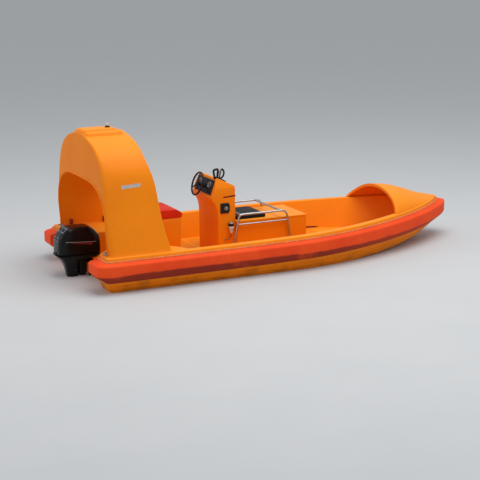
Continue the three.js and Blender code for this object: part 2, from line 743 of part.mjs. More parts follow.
const FILTER = { x: -724, y: -CONSOLE_HALF - 42 };

function makeFuelFilter() {
  const profile = [[0, 440], [20, 440], [34, 462], [34, 520], [38, 524], [38, 596], [30, 610], [0, 610]];
  const body = turned(profile, [FILTER.x, FILTER.y, 0], [0, 0, 1]);
  const bracket = block(FILTER.x - 30, FILTER.x + 30, -CONSOLE_HALF - 30, -CONSOLE_HALF - FIT_GAP, 560, 590);
  return body.add(bracket);
}

function makeFuelHose() {
  return bentBar(6, [
    [FILTER.x, FILTER.y, 439.5],
    [FILTER.x, FILTER.y, 412],
    [FILTER.x - 12, FILTER.y + 4, 385],
    [FILTER.x - 46, FILTER.y + 20, 364],
    [FILTER.x - 90, -CONSOLE_HALF - 12, 358],
    [FILTER.x - 104, -CONSOLE_HALF - 7, 359],
  ], 24, 8);
}

// Seat box and its pad
const BOX = { x0: -635.6, x1: 499, half: 390, top: 615 };
const PAD = { x0: -590, x1: -120, half: 300, height: 55 };

function makeSeatBox() {
  return block(BOX.x0, BOX.x1, -BOX.half, BOX.half, FLOOR_Z + FIT_GAP, BOX.top);
}

function makeSeatPad() {
  return block(PAD.x0, PAD.x1, -PAD.half, PAD.half, BOX.top + FIT_GAP, BOX.top + PAD.height);
}

// Steel rail frame round the box: a bar each side bent down to the floor at both ends, a lower bar
// between its legs, and two bars across
const RAIL = { radius: 15, y: 430, topZ: 716, flange: 32 };
const RAIL_FOOT_Z = FLOOR_Z + FIT_GAP;
const LOW_RAIL = { radius: 12, z: 572 };
// Columns: x of the foot, x of the corner above it, how far from the corner the bend begins
const RAIL_LEGS = [
  { footX: -728, topX: -612, cut: 45 },
  { footX: 229, topX: 146, cut: 90 },
];
const CROSSBARS = [
  { name: "rail_crossbar_aft", x: -590, z: RAIL.topZ - 4 },
  { name: "rail_crossbar_forward", x: 50, z: RAIL.topZ },
];

function makeGrabRail(side) {
  const y = side * RAIL.y;
  const [aft, forward] = RAIL_LEGS;
  const corners = [
    [aft.footX, y, RAIL_FOOT_Z + 4],
    [aft.topX, y, RAIL.topZ],
    [forward.topX, y, RAIL.topZ],
    [forward.footX, y, RAIL_FOOT_Z + 4],
  ];
  const bar = pipe(RAIL.radius, corners, [aft.cut, forward.cut]);
  const flanges = RAIL_LEGS.map(({ footX }) => {
    return rod(RAIL.flange, [footX, y, RAIL_FOOT_Z], [footX, y, RAIL_FOOT_Z + 6]);
  });
  return joined(bar, ...flanges);
}

// The low rail stops just short of the legs, which lean
function makeLowRail(side) {
  const height = RAIL.topZ - RAIL_FOOT_Z;
  const ends = RAIL_LEGS.map((leg, i) => {
    const slope = Math.abs(leg.topX - leg.footX) / height;
    const legX = leg.footX + ((leg.topX - leg.footX) * (LOW_RAIL.z - RAIL_FOOT_Z)) / height;
    const reach = RAIL.radius * Math.hypot(1, slope) + LOW_RAIL.radius * slope + FIT_GAP;
    return [legX + (i === 0 ? reach : -reach), side * RAIL.y, LOW_RAIL.z];
  });
  return rod(LOW_RAIL.radius, ends[0], ends[1], 12);
}

function makeCrossbar({ x, z }) {
  const reach = RAIL.y - RAIL.radius - FIT_GAP;
  return rod(RAIL.radius - 1, [x, -reach, z], [x, reach, z], 12);
}

// Helm seat
const SEAT = { x0: -1820, x1: -1450, half: 300, top: 735, cushion: 180 };

function makeHelmSeatBase() {
  const foot = FLOOR_Z + FIT_GAP;
  const outline = [[SEAT.x0 + 5, foot], [SEAT.x1 - 20, foot], [SEAT.x1, SEAT.top], [SEAT.x0 + 5, SEAT.top]];
  return prism(outline, "y", -SEAT.half, SEAT.half);
}

function makeHelmSeatCushion() {
  const [low, high] = [SEAT.top + FIT_GAP, SEAT.top + SEAT.cushion];
  const outline = [
    [SEAT.x0, low + 20],
    [SEAT.x0 + 20, low],
    [SEAT.x1, low],
    [SEAT.x1 + 20, low + 30],
    [SEAT.x1 + 12, high - 50],
    [SEAT.x1 - 40, high],
    [SEAT.x0 + 30, high],
    [SEAT.x0, high - 30],
  ];
  return prism(outline, "y", -SEAT.half - 10, SEAT.half + 10);
}

// Deck fittings
const CLEAT_Y = 985;

function makeSternCleat(side) {
  const y = side * CLEAT_Y;
  const z = ARCH_BASE_Z + FIT_GAP;
  const feet = [-2827, -2797].map((x) => rod(9, [x, y, z], [x, y, z + 34], 10));
  const bar = rod(10, [-2867, y, z + 36], [-2782, y, z + 36], 10);
  const base = block(-2856, -2784, y - 18, y + 18, z, z + 5);
  return joined(base, ...feet, bar);
}

const LIGHT = { x: -2410, baseZ: 2048.4 };

function makeLightBase() {
  const profile = [[0, 0], [34, 0], [34, 12], [26, 18], [26, 26], [0, 26]];
  return turned(profile, [LIGHT.x, 0, LIGHT.baseZ], [0, 0, 1], 16);
}

function makeLightLens() {
  const profile = [[0, 0], [24, 0], [29, 10], [29, 24], [20, 38], [0, 43]];
  return turned(profile, [LIGHT.x, 0, LIGHT.baseZ + 26.4], [0, 0, 1], 16);
}

// Outboard motor
function makeClampBracket() {
  const jawX = TRANSOM.forwardX + MOTOR_WELL.skin + FIT_GAP;
  const [backX, seatZ] = [TRANSOM.aftX - FIT_GAP, TRANSOM.topZ + FIT_GAP];
  const outline = [
    [-2782, -70],
    [backX, -70],
    [backX, seatZ],
    [jawX, seatZ],
    [jawX, 100],
    [jawX + 22, 100],
    [jawX + 22, 205],
    [-2700, 228],
    [-2750, 228],
    [-2790, 180],
  ];
  const plates = [-1, 1].map((way) => prism(outline, "y", way * 105 - 9, way * 105 + 9));
  const tube = rod(15, [TILT_AXIS.x, -110, TILT_AXIS.z], [TILT_AXIS.x, 110, TILT_AXIS.z], 24);
  return joined(...plates, tube);
}

function makeSwivelBracket() {
  const eye = rod(29, [TILT_AXIS.x, -88, TILT_AXIS.z], [TILT_AXIS.x, 88, TILT_AXIS.z], 24);
  const armOutline = [
    [TILT_AXIS.x, 232],
    [STEER_X, 262],
    [STEER_X, -20],
    [-2815, -20],
    [-2800, 60],
    [-2790, 176],
    [TILT_AXIS.x, 178],
  ];
  const arm = prism(armOutline, "y", -45, 45);
  const sleeve = rod(34, [STEER_X, 0, -30], [STEER_X, 0, 262], 24);
  const tubeBore = rod(15.8, [TILT_AXIS.x, -200, TILT_AXIS.z], [TILT_AXIS.x, 200, TILT_AXIS.z], 24);
  const shaftBore = rod(17, [STEER_X, 0, -100], [STEER_X, 0, 400], 24);
  const overTransom = block(-2760, -2600, -200, 200, -200, TRANSOM.topZ + 8);
  return joined(eye, arm, sleeve).subtract(tubeBore).subtract(shaftBore).subtract(overTransom);
}

// A rounded box outline in plan, as one loop
function roundLoop(x0, x1, half, z, power = 4, count = 24) {
  const [centre, semi] = [(x0 + x1) / 2, (x1 - x0) / 2];
  return Array.from({ length: count }, (_, i) => {
    const angle = (i / count) * Math.PI * 2;
    const [c, s] = [Math.cos(angle), Math.sin(angle)];
    const x = centre + semi * Math.sign(c) * Math.abs(c) ** (2 / power);
    const y = half * Math.sign(s) * Math.abs(s) ** (2 / power);
    return [x, y, z];
  });
}

// Columns: aft x, forward x, half width, z
const COWL_ROWS = [
  { x0: -3205, x1: -2605, half: 184, z: 300 },
  { x0: -3210, x1: -2602, half: 188, z: 340 },
  { x0: -3200, x1: -2606, half: 186, z: 470 },
  { x0: -3175, x1: -2620, half: 176, z: 590 },
  { x0: -3130, x1: -2650, half: 158, z: 660 },
  { x0: -3080, x1: -2700, half: 120, z: 700 },
];
const PAN_ROWS = [
  { x0: -3185, x1: -2625, half: 172, z: 285 },
  { x0: -3203, x1: -2607, half: 184, z: 290 },
  { x0: -3203, x1: -2607, half: 184, z: 299.4 },
];

function rowLoops(rows, inset = 0, drop = 0) {
  return rows.map((row) => roundLoop(row.x0 + inset, row.x1 - inset, row.half - inset, row.z - drop));
}

function makeCowl() {
  const inner = rowLoops(COWL_ROWS, 10, 10);
  return loft(rowLoops(COWL_ROWS)).subtract(loft(inner));
}

const MIDSECTION_ROWS = [
  { x0: -3060, x1: -2926, half: 52, z: -352 },
  { x0: -3062, x1: -2922, half: 58, z: -200 },
  { x0: -3068, x1: -2918, half: 70, z: -40 },
  { x0: -3085, x1: -2915, half: 88, z: 90 },
  { x0: -3120, x1: -2912, half: 128, z: 190 },
  { x0: -3165, x1: -2908, half: 160, z: 262 },
  { x0: -3180, x1: -2906, half: 170, z: 284.6 },
];

function makeMidsection() {
  const housing = loft(rowLoops(MIDSECTION_ROWS));
  const upperOutline = [[-2940, -50], [STEER_X, -36], [-2838, -22], [-2838, 22], [STEER_X, 36], [-2940, 50]];
  const lowerOutline = [[-2940, -40], [STEER_X, -34], [-2840, -20], [-2840, 20], [STEER_X, 34], [-2940, 40]];
  const upperArm = prism(upperOutline, "z", 267, 284.6);
  const lowerArm = prism(lowerOutline, "z", -62, -36);
  const shaft = rod(16.2, [STEER_X, 0, -62], [STEER_X, 0, 284], 24);
  return joined(housing, upperArm, lowerArm, shaft);
}

function makeLowerCowl() {
  return loft(rowLoops(PAN_ROWS));
}

function makePowerhead() {
  return block(-3110, -2720, -125, 125, 300, 600);
}

const PLATE_Z = -380;
const PROP_Z = -565;

function makeGearcase() {
  const leg = loft([
    roundLoop(-3050, -2945, 36, -540, 2.4),
    roundLoop(-3056, -2938, 34, -430, 2.4),
    roundLoop(-3060, -2928, 50, PLATE_Z + 8, 3),
    roundLoop(-3060, -2926, 52, -352.6, 3),
  ]);
  const plate = loft([-6, 4].map((off) => roundLoop(-3235, -2900, 88, PLATE_Z + off, 2.8)));
  const bulletProfile = [[0, 0], [20, 22], [42, 80], [50, 150], [50, 250], [46, 290], [0, 290]];
  const bullet = turned(bulletProfile, [-2840, 0, PROP_Z], [-1, 0, 0], 24);
  const skeg = prism([[-3060, -560], [-2930, -560], [-3000, -735], [-3085, -735]], "y", -6, 6);
  return joined(leg, plate, bullet, skeg);
}

const PROP = { x0: -3262, x1: -3130.6, hub: 44, radius: 165, blades: 3 };

function makePropeller() {
  const length = PROP.x1 - PROP.x0;
  const profile = [[0, 0], [PROP.hub, 0], [PROP.hub - 4, length], [0, length]];
  const hub = turned(profile, [PROP.x1, 0, PROP_Z], [-1, 0, 0], 24);
  const middle = (PROP.x0 + PROP.x1) / 2;
  const blades = Array.from({ length: PROP.blades }, (_, i) => {
    return propBlade(middle, (i / PROP.blades) * Math.PI * 2);
  });
  return joined(hub, ...blades);
}

// Columns: radius, half width of the blade, pitch angle, half thickness
const BLADE_ROWS = [
  { radius: 30, half: 42, pitch: 62, thick: 6 },
  { radius: 75, half: 68, pitch: 45, thick: 5 },
  { radius: 120, half: 74, pitch: 34, thick: 3.5 },
  { radius: 152, half: 48, pitch: 28, thick: 2.5 },
  { radius: PROP.radius, half: 16, pitch: 26, thick: 1.5 },
];

function propBlade(x, angle) {
  const loops = BLADE_ROWS.map((row) => {
    const pitch = THREE.MathUtils.degToRad(row.pitch);
    const corners = [[-1, 0], [-0.4, 1], [0.4, 1], [1, 0], [0.4, -1], [-0.4, -1]];
    return corners.map(([along, out]) => {
      const chord = along * row.half;
      const off = out * row.thick;
      const forward = chord * Math.sin(pitch) * 0.8 + off * Math.cos(pitch);
      const around = chord * Math.cos(pitch) - off * Math.sin(pitch);
      const place = new THREE.Vector3(x + forward, around, row.radius);
      place.applyAxisAngle(new THREE.Vector3(1, 0, 0), angle);
      return [place.x, place.y, place.z + PROP_Z];
    });
  });
  return loft(loops);
}

piece("hull", makeHull(), orange);
piece("deck_moulding", makeDeckMoulding(), orange);
piece("cockpit_floor", makeCockpitFloor(), orange);
piece("motor_well_liner", makeMotorWellLiner(), orange);
piece("fender_port", makeFender(1), fenderRed);
piece("fender_starboard", makeFender(-1), fenderRed);
piece("righting_arch", makeArch(), orange);
piece("arch_top_pad", makeArchPad(), orange);
piece("all_round_light_base", makeLightBase(), black);
piece("all_round_light_lens", makeLightLens(), clearLens);
piece("bow_hood", makeBowHood(), orange);
piece("console", makeConsole(), orange);
piece("dash_panel", makeDashPanel(), black);
piece("steering_column", makeSteeringColumn(), black);
piece("steering_wheel", makeSteeringWheel(), black);
piece("throttle_control", makeThrottle(), black);
piece("battery_switch", makeSwitchPlate(), black);
piece("fuel_filter", makeFuelFilter(), bareAlloy);
piece("fuel_hose", makeFuelHose(), black);
piece("seat_box", makeSeatBox(), orange);
piece("seat_box_pad", makeSeatPad(), padBlack);
piece("grab_rail_port", makeGrabRail(1), steel);
piece("grab_rail_starboard", makeGrabRail(-1), steel);
piece("low_rail_port", makeLowRail(1), steel);
piece("low_rail_starboard", makeLowRail(-1), steel);
CROSSBARS.forEach((bar) => piece(bar.name, makeCrossbar(bar), steel));
piece("helm_seat_base", makeHelmSeatBase(), orange);
piece("helm_seat_cushion", makeHelmSeatCushion(), seatRed);
piece("stern_cleat_port", makeSternCleat(1), steel);
piece("stern_cleat_starboard", makeSternCleat(-1), steel);
piece("motor_clamp_bracket", makeClampBracket(), black);
piece("motor_swivel_bracket", makeSwivelBracket(), black);
piece("motor_midsection", makeMidsection(), black);
piece("motor_lower_cowl", makeLowerCowl(), black);
piece("motor_cowl", makeCowl(), black);
piece("powerhead", makePowerhead(), bareAlloy);
piece("motor_gearcase", makeGearcase(), black);
piece("propeller", makePropeller(), black);

export default boat;
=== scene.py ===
# %% [markdown]
# # An open rescue boat
# A rescue boat of this kind is laid up by hand in moulds: a hull, a deck moulding, an arch that
# rights the boat if it capsizes, a hood over the bow and a few boxes. A thick foam fender runs all
# round it and an outboard motor hangs on the transom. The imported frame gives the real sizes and
# the moving bodies, so each surface here is worked out in millimetres in the frame's own axes:
# X forward, Y to port, Z up, with the waterline at zero.

# %% Load the frame
import bmesh
import bpy
import numpy as np
from mathutils import Matrix


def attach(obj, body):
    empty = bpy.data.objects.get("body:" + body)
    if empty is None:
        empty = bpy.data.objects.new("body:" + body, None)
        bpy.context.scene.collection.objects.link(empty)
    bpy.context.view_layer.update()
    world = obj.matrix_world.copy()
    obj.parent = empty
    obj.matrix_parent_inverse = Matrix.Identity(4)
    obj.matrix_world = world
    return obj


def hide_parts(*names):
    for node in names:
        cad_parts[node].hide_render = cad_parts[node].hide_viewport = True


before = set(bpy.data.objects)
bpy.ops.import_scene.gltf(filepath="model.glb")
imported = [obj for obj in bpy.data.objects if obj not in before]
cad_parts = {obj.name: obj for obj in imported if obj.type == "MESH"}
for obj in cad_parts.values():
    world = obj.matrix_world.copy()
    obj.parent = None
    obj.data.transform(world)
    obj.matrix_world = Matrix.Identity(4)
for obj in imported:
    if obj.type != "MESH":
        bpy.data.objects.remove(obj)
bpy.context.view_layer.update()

MM = 0.001

# %% [markdown]
# ## The camera
# The picture is taken from the starboard quarter, a little above the arch. A long lens keeps the
# sides nearly parallel. A camera's matrix has the directions right, up and back as its columns,
# so turning three angles into those three directions is all that is needed.

# %% The camera
CAMERA_PLACE = (-8.235, -16.959, 4.636)
CAMERA_YAW, CAMERA_PITCH, CAMERA_ROLL = np.radians([24.784, 13.263, -0.441])
LENS_MM = 97.5


def camera_directions():
    """Forward comes from yaw and pitch, right is level, and the roll turns right and up."""
    forward = np.array([
        np.sin(CAMERA_YAW) * np.cos(CAMERA_PITCH),
        np.cos(CAMERA_YAW) * np.cos(CAMERA_PITCH),
        -np.sin(CAMERA_PITCH),
    ])
    level = np.array([np.cos(CAMERA_YAW), -np.sin(CAMERA_YAW), 0])
    upright = np.cross(level, forward)
    right = np.cos(CAMERA_ROLL) * level + np.sin(CAMERA_ROLL) * upright
    up = -np.sin(CAMERA_ROLL) * level + np.cos(CAMERA_ROLL) * upright
    return right, up, -forward


camera = bpy.data.objects.new("camera", bpy.data.cameras.new("camera"))
bpy.context.collection.objects.link(camera)
camera.data.lens = LENS_MM
camera.data.sensor_width = 36
camera.data.clip_end = 600
matrix = np.eye(4)
matrix[:3, :3] = np.column_stack(camera_directions())
matrix[:3, 3] = CAMERA_PLACE
camera.matrix_world = Matrix(matrix.tolist())
bpy.context.scene.camera = camera
print("camera at", CAMERA_PLACE)

# %% [markdown]
# ## Colours and nodes
# Colours are picked as sRGB hex values, but a shader works in linear light, so one function
# converts them. Another adds a node with its settings and links. Nearly every finish here does the
# same three things: it blends a second colour in where a pattern passes some level, it lets the
# roughness follow a pattern, and it raises a third pattern as relief. So those are written once.

# %% Colours and nodes
NOISE, CELLS, MAP_RANGE = "ShaderNodeTexNoise", "ShaderNodeTexVoronoi", "ShaderNodeMapRange"


def linear(hex_colour):
    """sRGB to linear: divide by 12.92 near black, else ((c + 0.055) / 1.055) to the power 2.4."""
    c = np.array([int(hex_colour[i:i + 2], 16) for i in (1, 3, 5)]) / 255
    flat = np.where(c <= 0.04045, c / 12.92, ((c + 0.055) / 1.055) ** 2.4)
    return (*flat.tolist(), 1.0)


def node(tree, kind, inputs=None, **settings):
    """Adds a node. An input given as a socket, or as a node whose first output is meant, is
    linked, and any other value is set on it."""
    made = tree.nodes.new(kind)
    for key, value in settings.items():
        setattr(made, key, value)
    for key, value in (inputs or {}).items():
        source = value.outputs[0] if isinstance(value, bpy.types.Node) else value
        if isinstance(source, bpy.types.NodeSocket):
            tree.links.new(source, made.inputs[key])
        else:
            made.inputs[key].default_value = source
    return made


def finish(name, **uniform):
    """A new material: its tree, its shader with the uniform values set, and the place to sample."""
    material = bpy.data.materials.new(name)
    material.use_nodes = True
    tree = material.node_tree
    shader = tree.nodes["Principled BSDF"]
    for key, value in uniform.items():
        shader.inputs[key.replace("_", " ")].default_value = value
    where = node(tree, "ShaderNodeTexCoord").outputs["Object"]
    return material, tree, shader, where


def per_mm(size_mm):
    """The scale at which a noise or cell pattern on metre coordinates has features of that size."""
    return 1000.0 / size_mm


def patches(where, size_mm, detail=3.0, rough=0.55):
    """The inputs of a noise whose patches are of that size."""
    return {"Vector": where, "Scale": per_mm(size_mm), "Detail": detail, "Roughness": rough}


def passage(value, low, high, to_low=0.0, to_high=1.0):
    """The inputs of a map range: the result goes between its two ends as the value does."""
    names = ("Value", "From Min", "From Max", "To Min", "To Max")
    return dict(zip(names, (value, low, high, to_low, to_high)))


def blended(tree, first, second, pattern, low, high, least=0.0, most=1.0):
    """The first colour with a part of the second: the least part where the pattern is at low, the
    most where it is at high, and evenly between."""
    part = node(tree, MAP_RANGE, passage(pattern, low, high, least, most))
    return node(tree, "ShaderNodeMix", {0: part, 6: first, 7: second}, data_type="RGBA").outputs[2]


def looks_up(tree):
    """The surface normal's Z: 1 where a face looks up, 0 where it is upright, -1 where it is under."""
    facing = node(tree, "ShaderNodeNewGeometry").outputs["Normal"]
    return node(tree, "ShaderNodeSeparateXYZ", {"Vector": facing}).outputs["Z"]


def dress(tree, shader, colour, shine, relief=None):
    """Links a finish to its shader. Shine is a pattern, the two levels that it passes and the
    roughness at each; relief is a height pattern, its strength and its depth in millimetres."""
    tree.links.new(colour, shader.inputs["Base Color"])
    rough = node(tree, MAP_RANGE, passage(*shine))
    tree.links.new(rough.outputs["Result"], shader.inputs["Roughness"])
    if relief:
        height, strength, depth_mm = relief
        inputs = {"Height": height, "Strength": strength, "Distance": depth_mm * MM}
        raised = node(tree, "ShaderNodeBump", inputs)
        tree.links.new(raised.outputs["Normal"], shader.inputs["Normal"])


print("mid grey in linear light:", round(linear("#808080")[0], 3))

# %% [markdown]
# ## Gelcoat
# The orange skin of a moulding is gelcoat, a pigmented polyester that is sprayed into the mould
# before the glass. It is glossy but never a mirror: its colour drifts by a few percent over half a
# metre, and the glass behind it prints through as a very faint ripple some 20 mm across. Faces that
# look up are painted a paler orange, a painted highlight of the light from above, and the surface's
# own normal says where.

# %% Gelcoat
# The first colour is a paler orange that upward faces get as a painted highlight.
TOP_HIGHLIGHT, SCUFFED, GRIME = linear("#F49C2E"), linear("#A8560F"), linear("#8A4A10")
GRIME_FOOT = 0.42  # where the washed band is darkest, as a height in metres plus a noise of 0 to 1


def gelcoat(name, fresh, faded, grain_mm=0, grime_height=None, top_highlight=0.55):
    """Colour drift, scuffs and a painted highlight on upward faces in turn. A hull has a washed band
    over the waterline, and a floor has grains of a given size in place of the ripple."""
    material, tree, shader, where = finish(name, IOR=1.36, Specular_IOR_Level=0.25, Coat_Weight=0.04,
                                            Coat_Roughness=0.3)
    drift = node(tree, NOISE, patches(where, 620, 4))
    scuffs = node(tree, NOISE, patches(where, 45, 6, 0.7))
    colour = blended(tree, linear(fresh), linear(faded), drift, 0.35, 0.65)
    colour = blended(tree, colour, SCUFFED, scuffs, 0.62, 0.80, 0, 0.25)
    # painted highlight: faces that look up are blended towards the paler orange
    colour = blended(tree, colour, TOP_HIGHLIGHT, looks_up(tree), 0.6, 0.97, 0, top_highlight)
    if grime_height is not None:
        height = node(tree, "ShaderNodeSeparateXYZ", {"Vector": where}).outputs["Z"]
        waves = node(tree, NOISE, patches(where, 260))
        wash = node(tree, "ShaderNodeMath", {0: height, 1: waves}, operation="ADD")
        colour = blended(tree, colour, GRIME, wash, GRIME_FOOT, GRIME_FOOT + grime_height, 0.35, 0)
    if grain_mm:
        cell = {"Vector": where, "Scale": per_mm(grain_mm)}
        relief = node(tree, CELLS, cell), 0.75, 1.2
    else:
        relief = node(tree, NOISE, patches(where, 22, 1)), 0.10, 0.8
    dress(tree, shader, colour, (scuffs, 0.3, 0.75, 0.46, 0.64), relief)
    return material


orange_gelcoat = gelcoat("orange gelcoat", "#F48600", "#ED8004")
hull_gelcoat = gelcoat("hull gelcoat, washed at the waterline", "#F08404", "#E67C08", 0, 0.16)
nonskid_gelcoat = gelcoat("nonskid gelcoat, 9 mm grain drawn coarse", "#EA7804", "#E17306", 9, top_highlight=0.3)
print("gelcoats made:", orange_gelcoat.name, "and two more")

# %% [markdown]
# ## Fender foam, rubber and plastics
# The fender is closed-cell foam under a brushed-on elastic skin. The skin is matt, slightly
# dimpled, and paler where it has been rubbed. Moulded black plastics are matt with a fine spark
# texture, and the motor's cowl is sprayed gloss black over the same moulding.

# %% Fender foam, rubber and plastics


def fender_skin():
    """Matt elastic skin. The slope underneath, whose normal points down, is painted darker as
    painted shade, a little less towards the bow: darkening = under x ahead."""
    material, tree, shader, where = finish("elastic skin on foam, brushed", IOR=1.38,
                                            Specular_IOR_Level=0.35)
    rubbed = node(tree, NOISE, patches(where, 380, 5, 0.65))
    specks = node(tree, NOISE, patches(where, 26, 4, 0.7))
    colour = blended(tree, linear("#EA430C"), linear("#F25318"), rubbed, 0.38, 0.68)
    colour = blended(tree, colour, linear("#8F2A1A"), specks, 0.63, 0.8, 0, 0.5)
    # painted shade: faces that look down, broken up by the rubbed pattern, go towards dark maroon, less so
    # forward
    patchy = node(tree, "ShaderNodeMath", {0: looks_up(tree), 1: rubbed}, operation="ADD")
    under = node(tree, MAP_RANGE, passage(patchy, -0.06, 0.34, 1, 0))
    forward = node(tree, "ShaderNodeSeparateXYZ", {"Vector": where}).outputs["X"]
    ahead = node(tree, MAP_RANGE, passage(forward, 0.4, 2.4, 0.8, 0.45))
    darkening = node(tree, "ShaderNodeMath", {0: under, 1: ahead}, operation="MULTIPLY")
    colour = blended(tree, colour, linear("#6B1F14"), darkening, 0, 1)
    dimples = node(tree, NOISE, patches(where, 60, 5, 0.6))
    dress(tree, shader, colour, (rubbed, 0.3, 0.7, 0.58, 0.74), (dimples, 0.28, 3.0))
    return material


def plastic(name, colour, worn, roughness, texture_mm, depth=0.25, patch_mm=90):
    """Moulded plastic or rubber: dull, paler or darker in worn patches, with a fine texture that
    breaks up its highlights."""
    material, tree, shader, where = finish(name, IOR=1.45, Specular_IOR_Level=0.3)
    wear = node(tree, NOISE, patches(where, patch_mm, 5, 0.6))
    tone = blended(tree, linear(colour), linear(worn), wear, 0.4, 0.75, 0, 0.6)
    spark = node(tree, NOISE, patches(where, texture_mm, 2))
    dress(tree, shader, tone, (wear, 0.3, 0.7, roughness - 0.06, roughness + 0.08), (spark, depth, 0.4))
    return material


def gloss_paint(name, colour, dust, coat=0.3):
    """Sprayed paint: smooth with a clear coat, a film of dust, and the faint ripple of spraying."""
    material, tree, shader, where = finish(name, IOR=1.36, Specular_IOR_Level=0.35, Coat_Weight=coat,
                                            Coat_Roughness=0.12)
    film = node(tree, NOISE, patches(where, 120, 6, 0.65))
    tone = blended(tree, linear(colour), linear(dust), film, 0.45, 0.8, 0, 0.5)
    ripple = node(tree, NOISE, patches(where, 6, 2))
    dress(tree, shader, tone, (film, 0.35, 0.75, 0.24, 0.42), (ripple, 0.04, 0.3))
    return material


foam_skin = fender_skin()
black_plastic = plastic("moulded black plastic", "#151517", "#2B2C2E", 0.48, 3)
black_rubber = plastic("black rubber", "#101011", "#242322", 0.68, 4)
red_rubber = plastic("dark red moulded rubber", "#7E1712", "#5B1410", 0.6, 4)
pocket_rubber = plastic("red-brown rubber", "#8E2E12", "#6B2410", 0.6, 4)
hose_rubber = plastic("red-brown fuel hose", "#A04A26", "#84391E", 0.55, 4)
clip_plastic = plastic("faded orange clip plastic", "#D98A62", "#B0603C", 0.6, 5)
sealant = plastic("sealant, stained brown in patches", "#E5824A", "#98502A", 0.8, 12, 0.5, 42)
white_plastic = plastic("white moulded plastic", "#D9D8D2", "#BFBDB4", 0.35, 4, 0.1)
cowl_paint = gloss_paint("gloss black cowl paint", "#040404", "#0B0B0C", 0.05)
leg_paint = gloss_paint("black paint on cast alloy", "#08090A", "#17181A", 0.1)
stripe_grey = gloss_paint("light grey stripe", "#A9ADB2", "#8A8E93", 0.4)
louvre_grey = gloss_paint("grey louvre plastic", "#7E8286", "#606468", 0.1)
stripe_red = gloss_paint("dark red stripe", "#7A1418", "#4E1012", 0.4)
knob_grey = gloss_paint("grey-green knob", "#7E857A", "#5E645A", 0.2)
print("plastics, rubbers and paints made")

# %% [markdown]
# ## Metals, tape, lens and vinyl
# Polished stainless tube is nearly white and reflects softly along fine polishing lines. Marine
# reflective tape is silver film over a honeycomb that shows as small cells. Seat vinyl is cloth
# coated with soft plastic and embossed like leather, so cells of a few millimetres drive its bump.

# %% Metals, tape, lens and vinyl


def bare_metal(name, colour, roughness, line_mm=2.0):
    """Metal with no paint: it mirrors its surroundings softly, duller in fine lines and in stains."""
    material, tree, shader, where = finish(name, Metallic=1.0)
    lines = node(tree, NOISE, patches(where, line_mm, 2))
    stains = node(tree, NOISE, patches(where, 70, 4))
    tone = blended(tree, linear(colour), linear("#8F8D86"), stains, 0.45, 0.8, 0, 0.4)
    dress(tree, shader, tone, (lines, 0.3, 0.7, roughness - 0.04, roughness + 0.07))
    return material


def reflective_tape():
    """Silver film under clear plastic, darker along the welds between its 16 mm cells."""
    material, tree, shader, where = finish("silver reflective tape", Metallic=0.35, Coat_Weight=0.3)
    cell = {"Vector": where, "Scale": per_mm(16)}
    welds = node(tree, CELLS, cell, feature="DISTANCE_TO_EDGE")
    darkening = node(tree, NOISE, patches(where, 30, 4))
    tone = blended(tree, linear("#C9C3BC"), linear("#A19A92"), darkening, 0.4, 0.8, 0, 0.6)
    tone = blended(tree, tone, linear("#8E8984"), welds, 0.02, 0.09, 1, 0)
    dress(tree, shader, tone, (darkening, 0.3, 0.7, 0.32, 0.5))
    return material


def vinyl(name, colour, worn):
    """Coated cloth: a dull sheen, rubbed in patches, over a pebbled grain of 5 mm cells."""
    material, tree, shader, where = finish(name, IOR=1.4, Specular_IOR_Level=0.12)
    wear = node(tree, NOISE, patches(where, 140, 4))
    tone = blended(tree, linear(colour), linear(worn), wear, 0.4, 0.75, 0, 0.7)
    cell = {"Vector": where, "Scale": per_mm(5)}
    grain = node(tree, CELLS, cell, feature="SMOOTH_F1")
    dress(tree, shader, tone, (wear, 0.3, 0.7, 0.42, 0.56), (grain, 0.4, 0.6))
    return material


def clear_plastic():
    """Half clear and half hazy, as a lens gets in the sun, so that its ribs still show."""
    material, tree, shader, where = finish("clear lens plastic", IOR=1.49, Transmission_Weight=0.55)
    haze = node(tree, NOISE, patches(where, 12, 2))
    tone = blended(tree, linear("#F4F6F4"), linear("#DDE2E0"), haze, 0, 1)
    dress(tree, shader, tone, (haze, 0.3, 0.7, 0.10, 0.22))
    return material


stainless = bare_metal("polished stainless tube", "#B9BBBC", 0.30)
cast_alloy = bare_metal("cast alloy", "#A9ACAE", 0.38, 5)
worn_alloy = bare_metal("worn propeller alloy", "#6D6F70", 0.42, 5)
silver_tape = reflective_tape()
red_vinyl = vinyl("red seat vinyl, 5 mm grain", "#D42C10", "#B8240C")
black_vinyl = vinyl("black pad vinyl, 5 mm grain", "#19191B", "#2A2A2C")
lens_plastic = clear_plastic()
print("metals, tape, vinyl and lens made")

# %% [markdown]
# ## From arrays to faces
# Every shape below is an array of points. A closed section repeated along a path makes a grid of
# points, and its faces are known from the row and column numbers alone. The signed volume, one
# sixth of the sum of p0 . (p1 x p2) over the triangles, tells whether the faces look outwards.

# %% From arrays to faces
MIRROR = np.array([1, -1, 1])  # a place on the port side times this is its place to starboard
SIDES = (("port", 1), ("starboard", -1))


def grid_faces(rows, columns, around=False):
    """Quads join each point to its neighbours; columns close on themselves, rows only if around."""
    r, c = np.meshgrid(np.arange(rows if around else rows - 1), np.arange(columns), indexing="ij")
    r_next, c_next = (r + 1) % rows, (c + 1) % columns
    corners = [r * columns + c, r * columns + c_next, r_next * columns + c_next, r_next * columns + c]
    return np.stack(corners, -1).reshape(-1, 4)


def outward(points, faces):
    """Turns all faces round if the signed volume of their triangle fans is negative."""
    volume = 0.0
    for size in {len(face) for face in faces}:
        block = points[np.array([face for face in faces if len(face) == size])]
        for k in range(1, size - 1):
            volume += np.einsum("ij,ij->", block[:, 0], np.cross(block[:, k], block[:, k + 1]))
    return (points, faces) if volume > 0 else (points, [face[::-1] for face in faces])


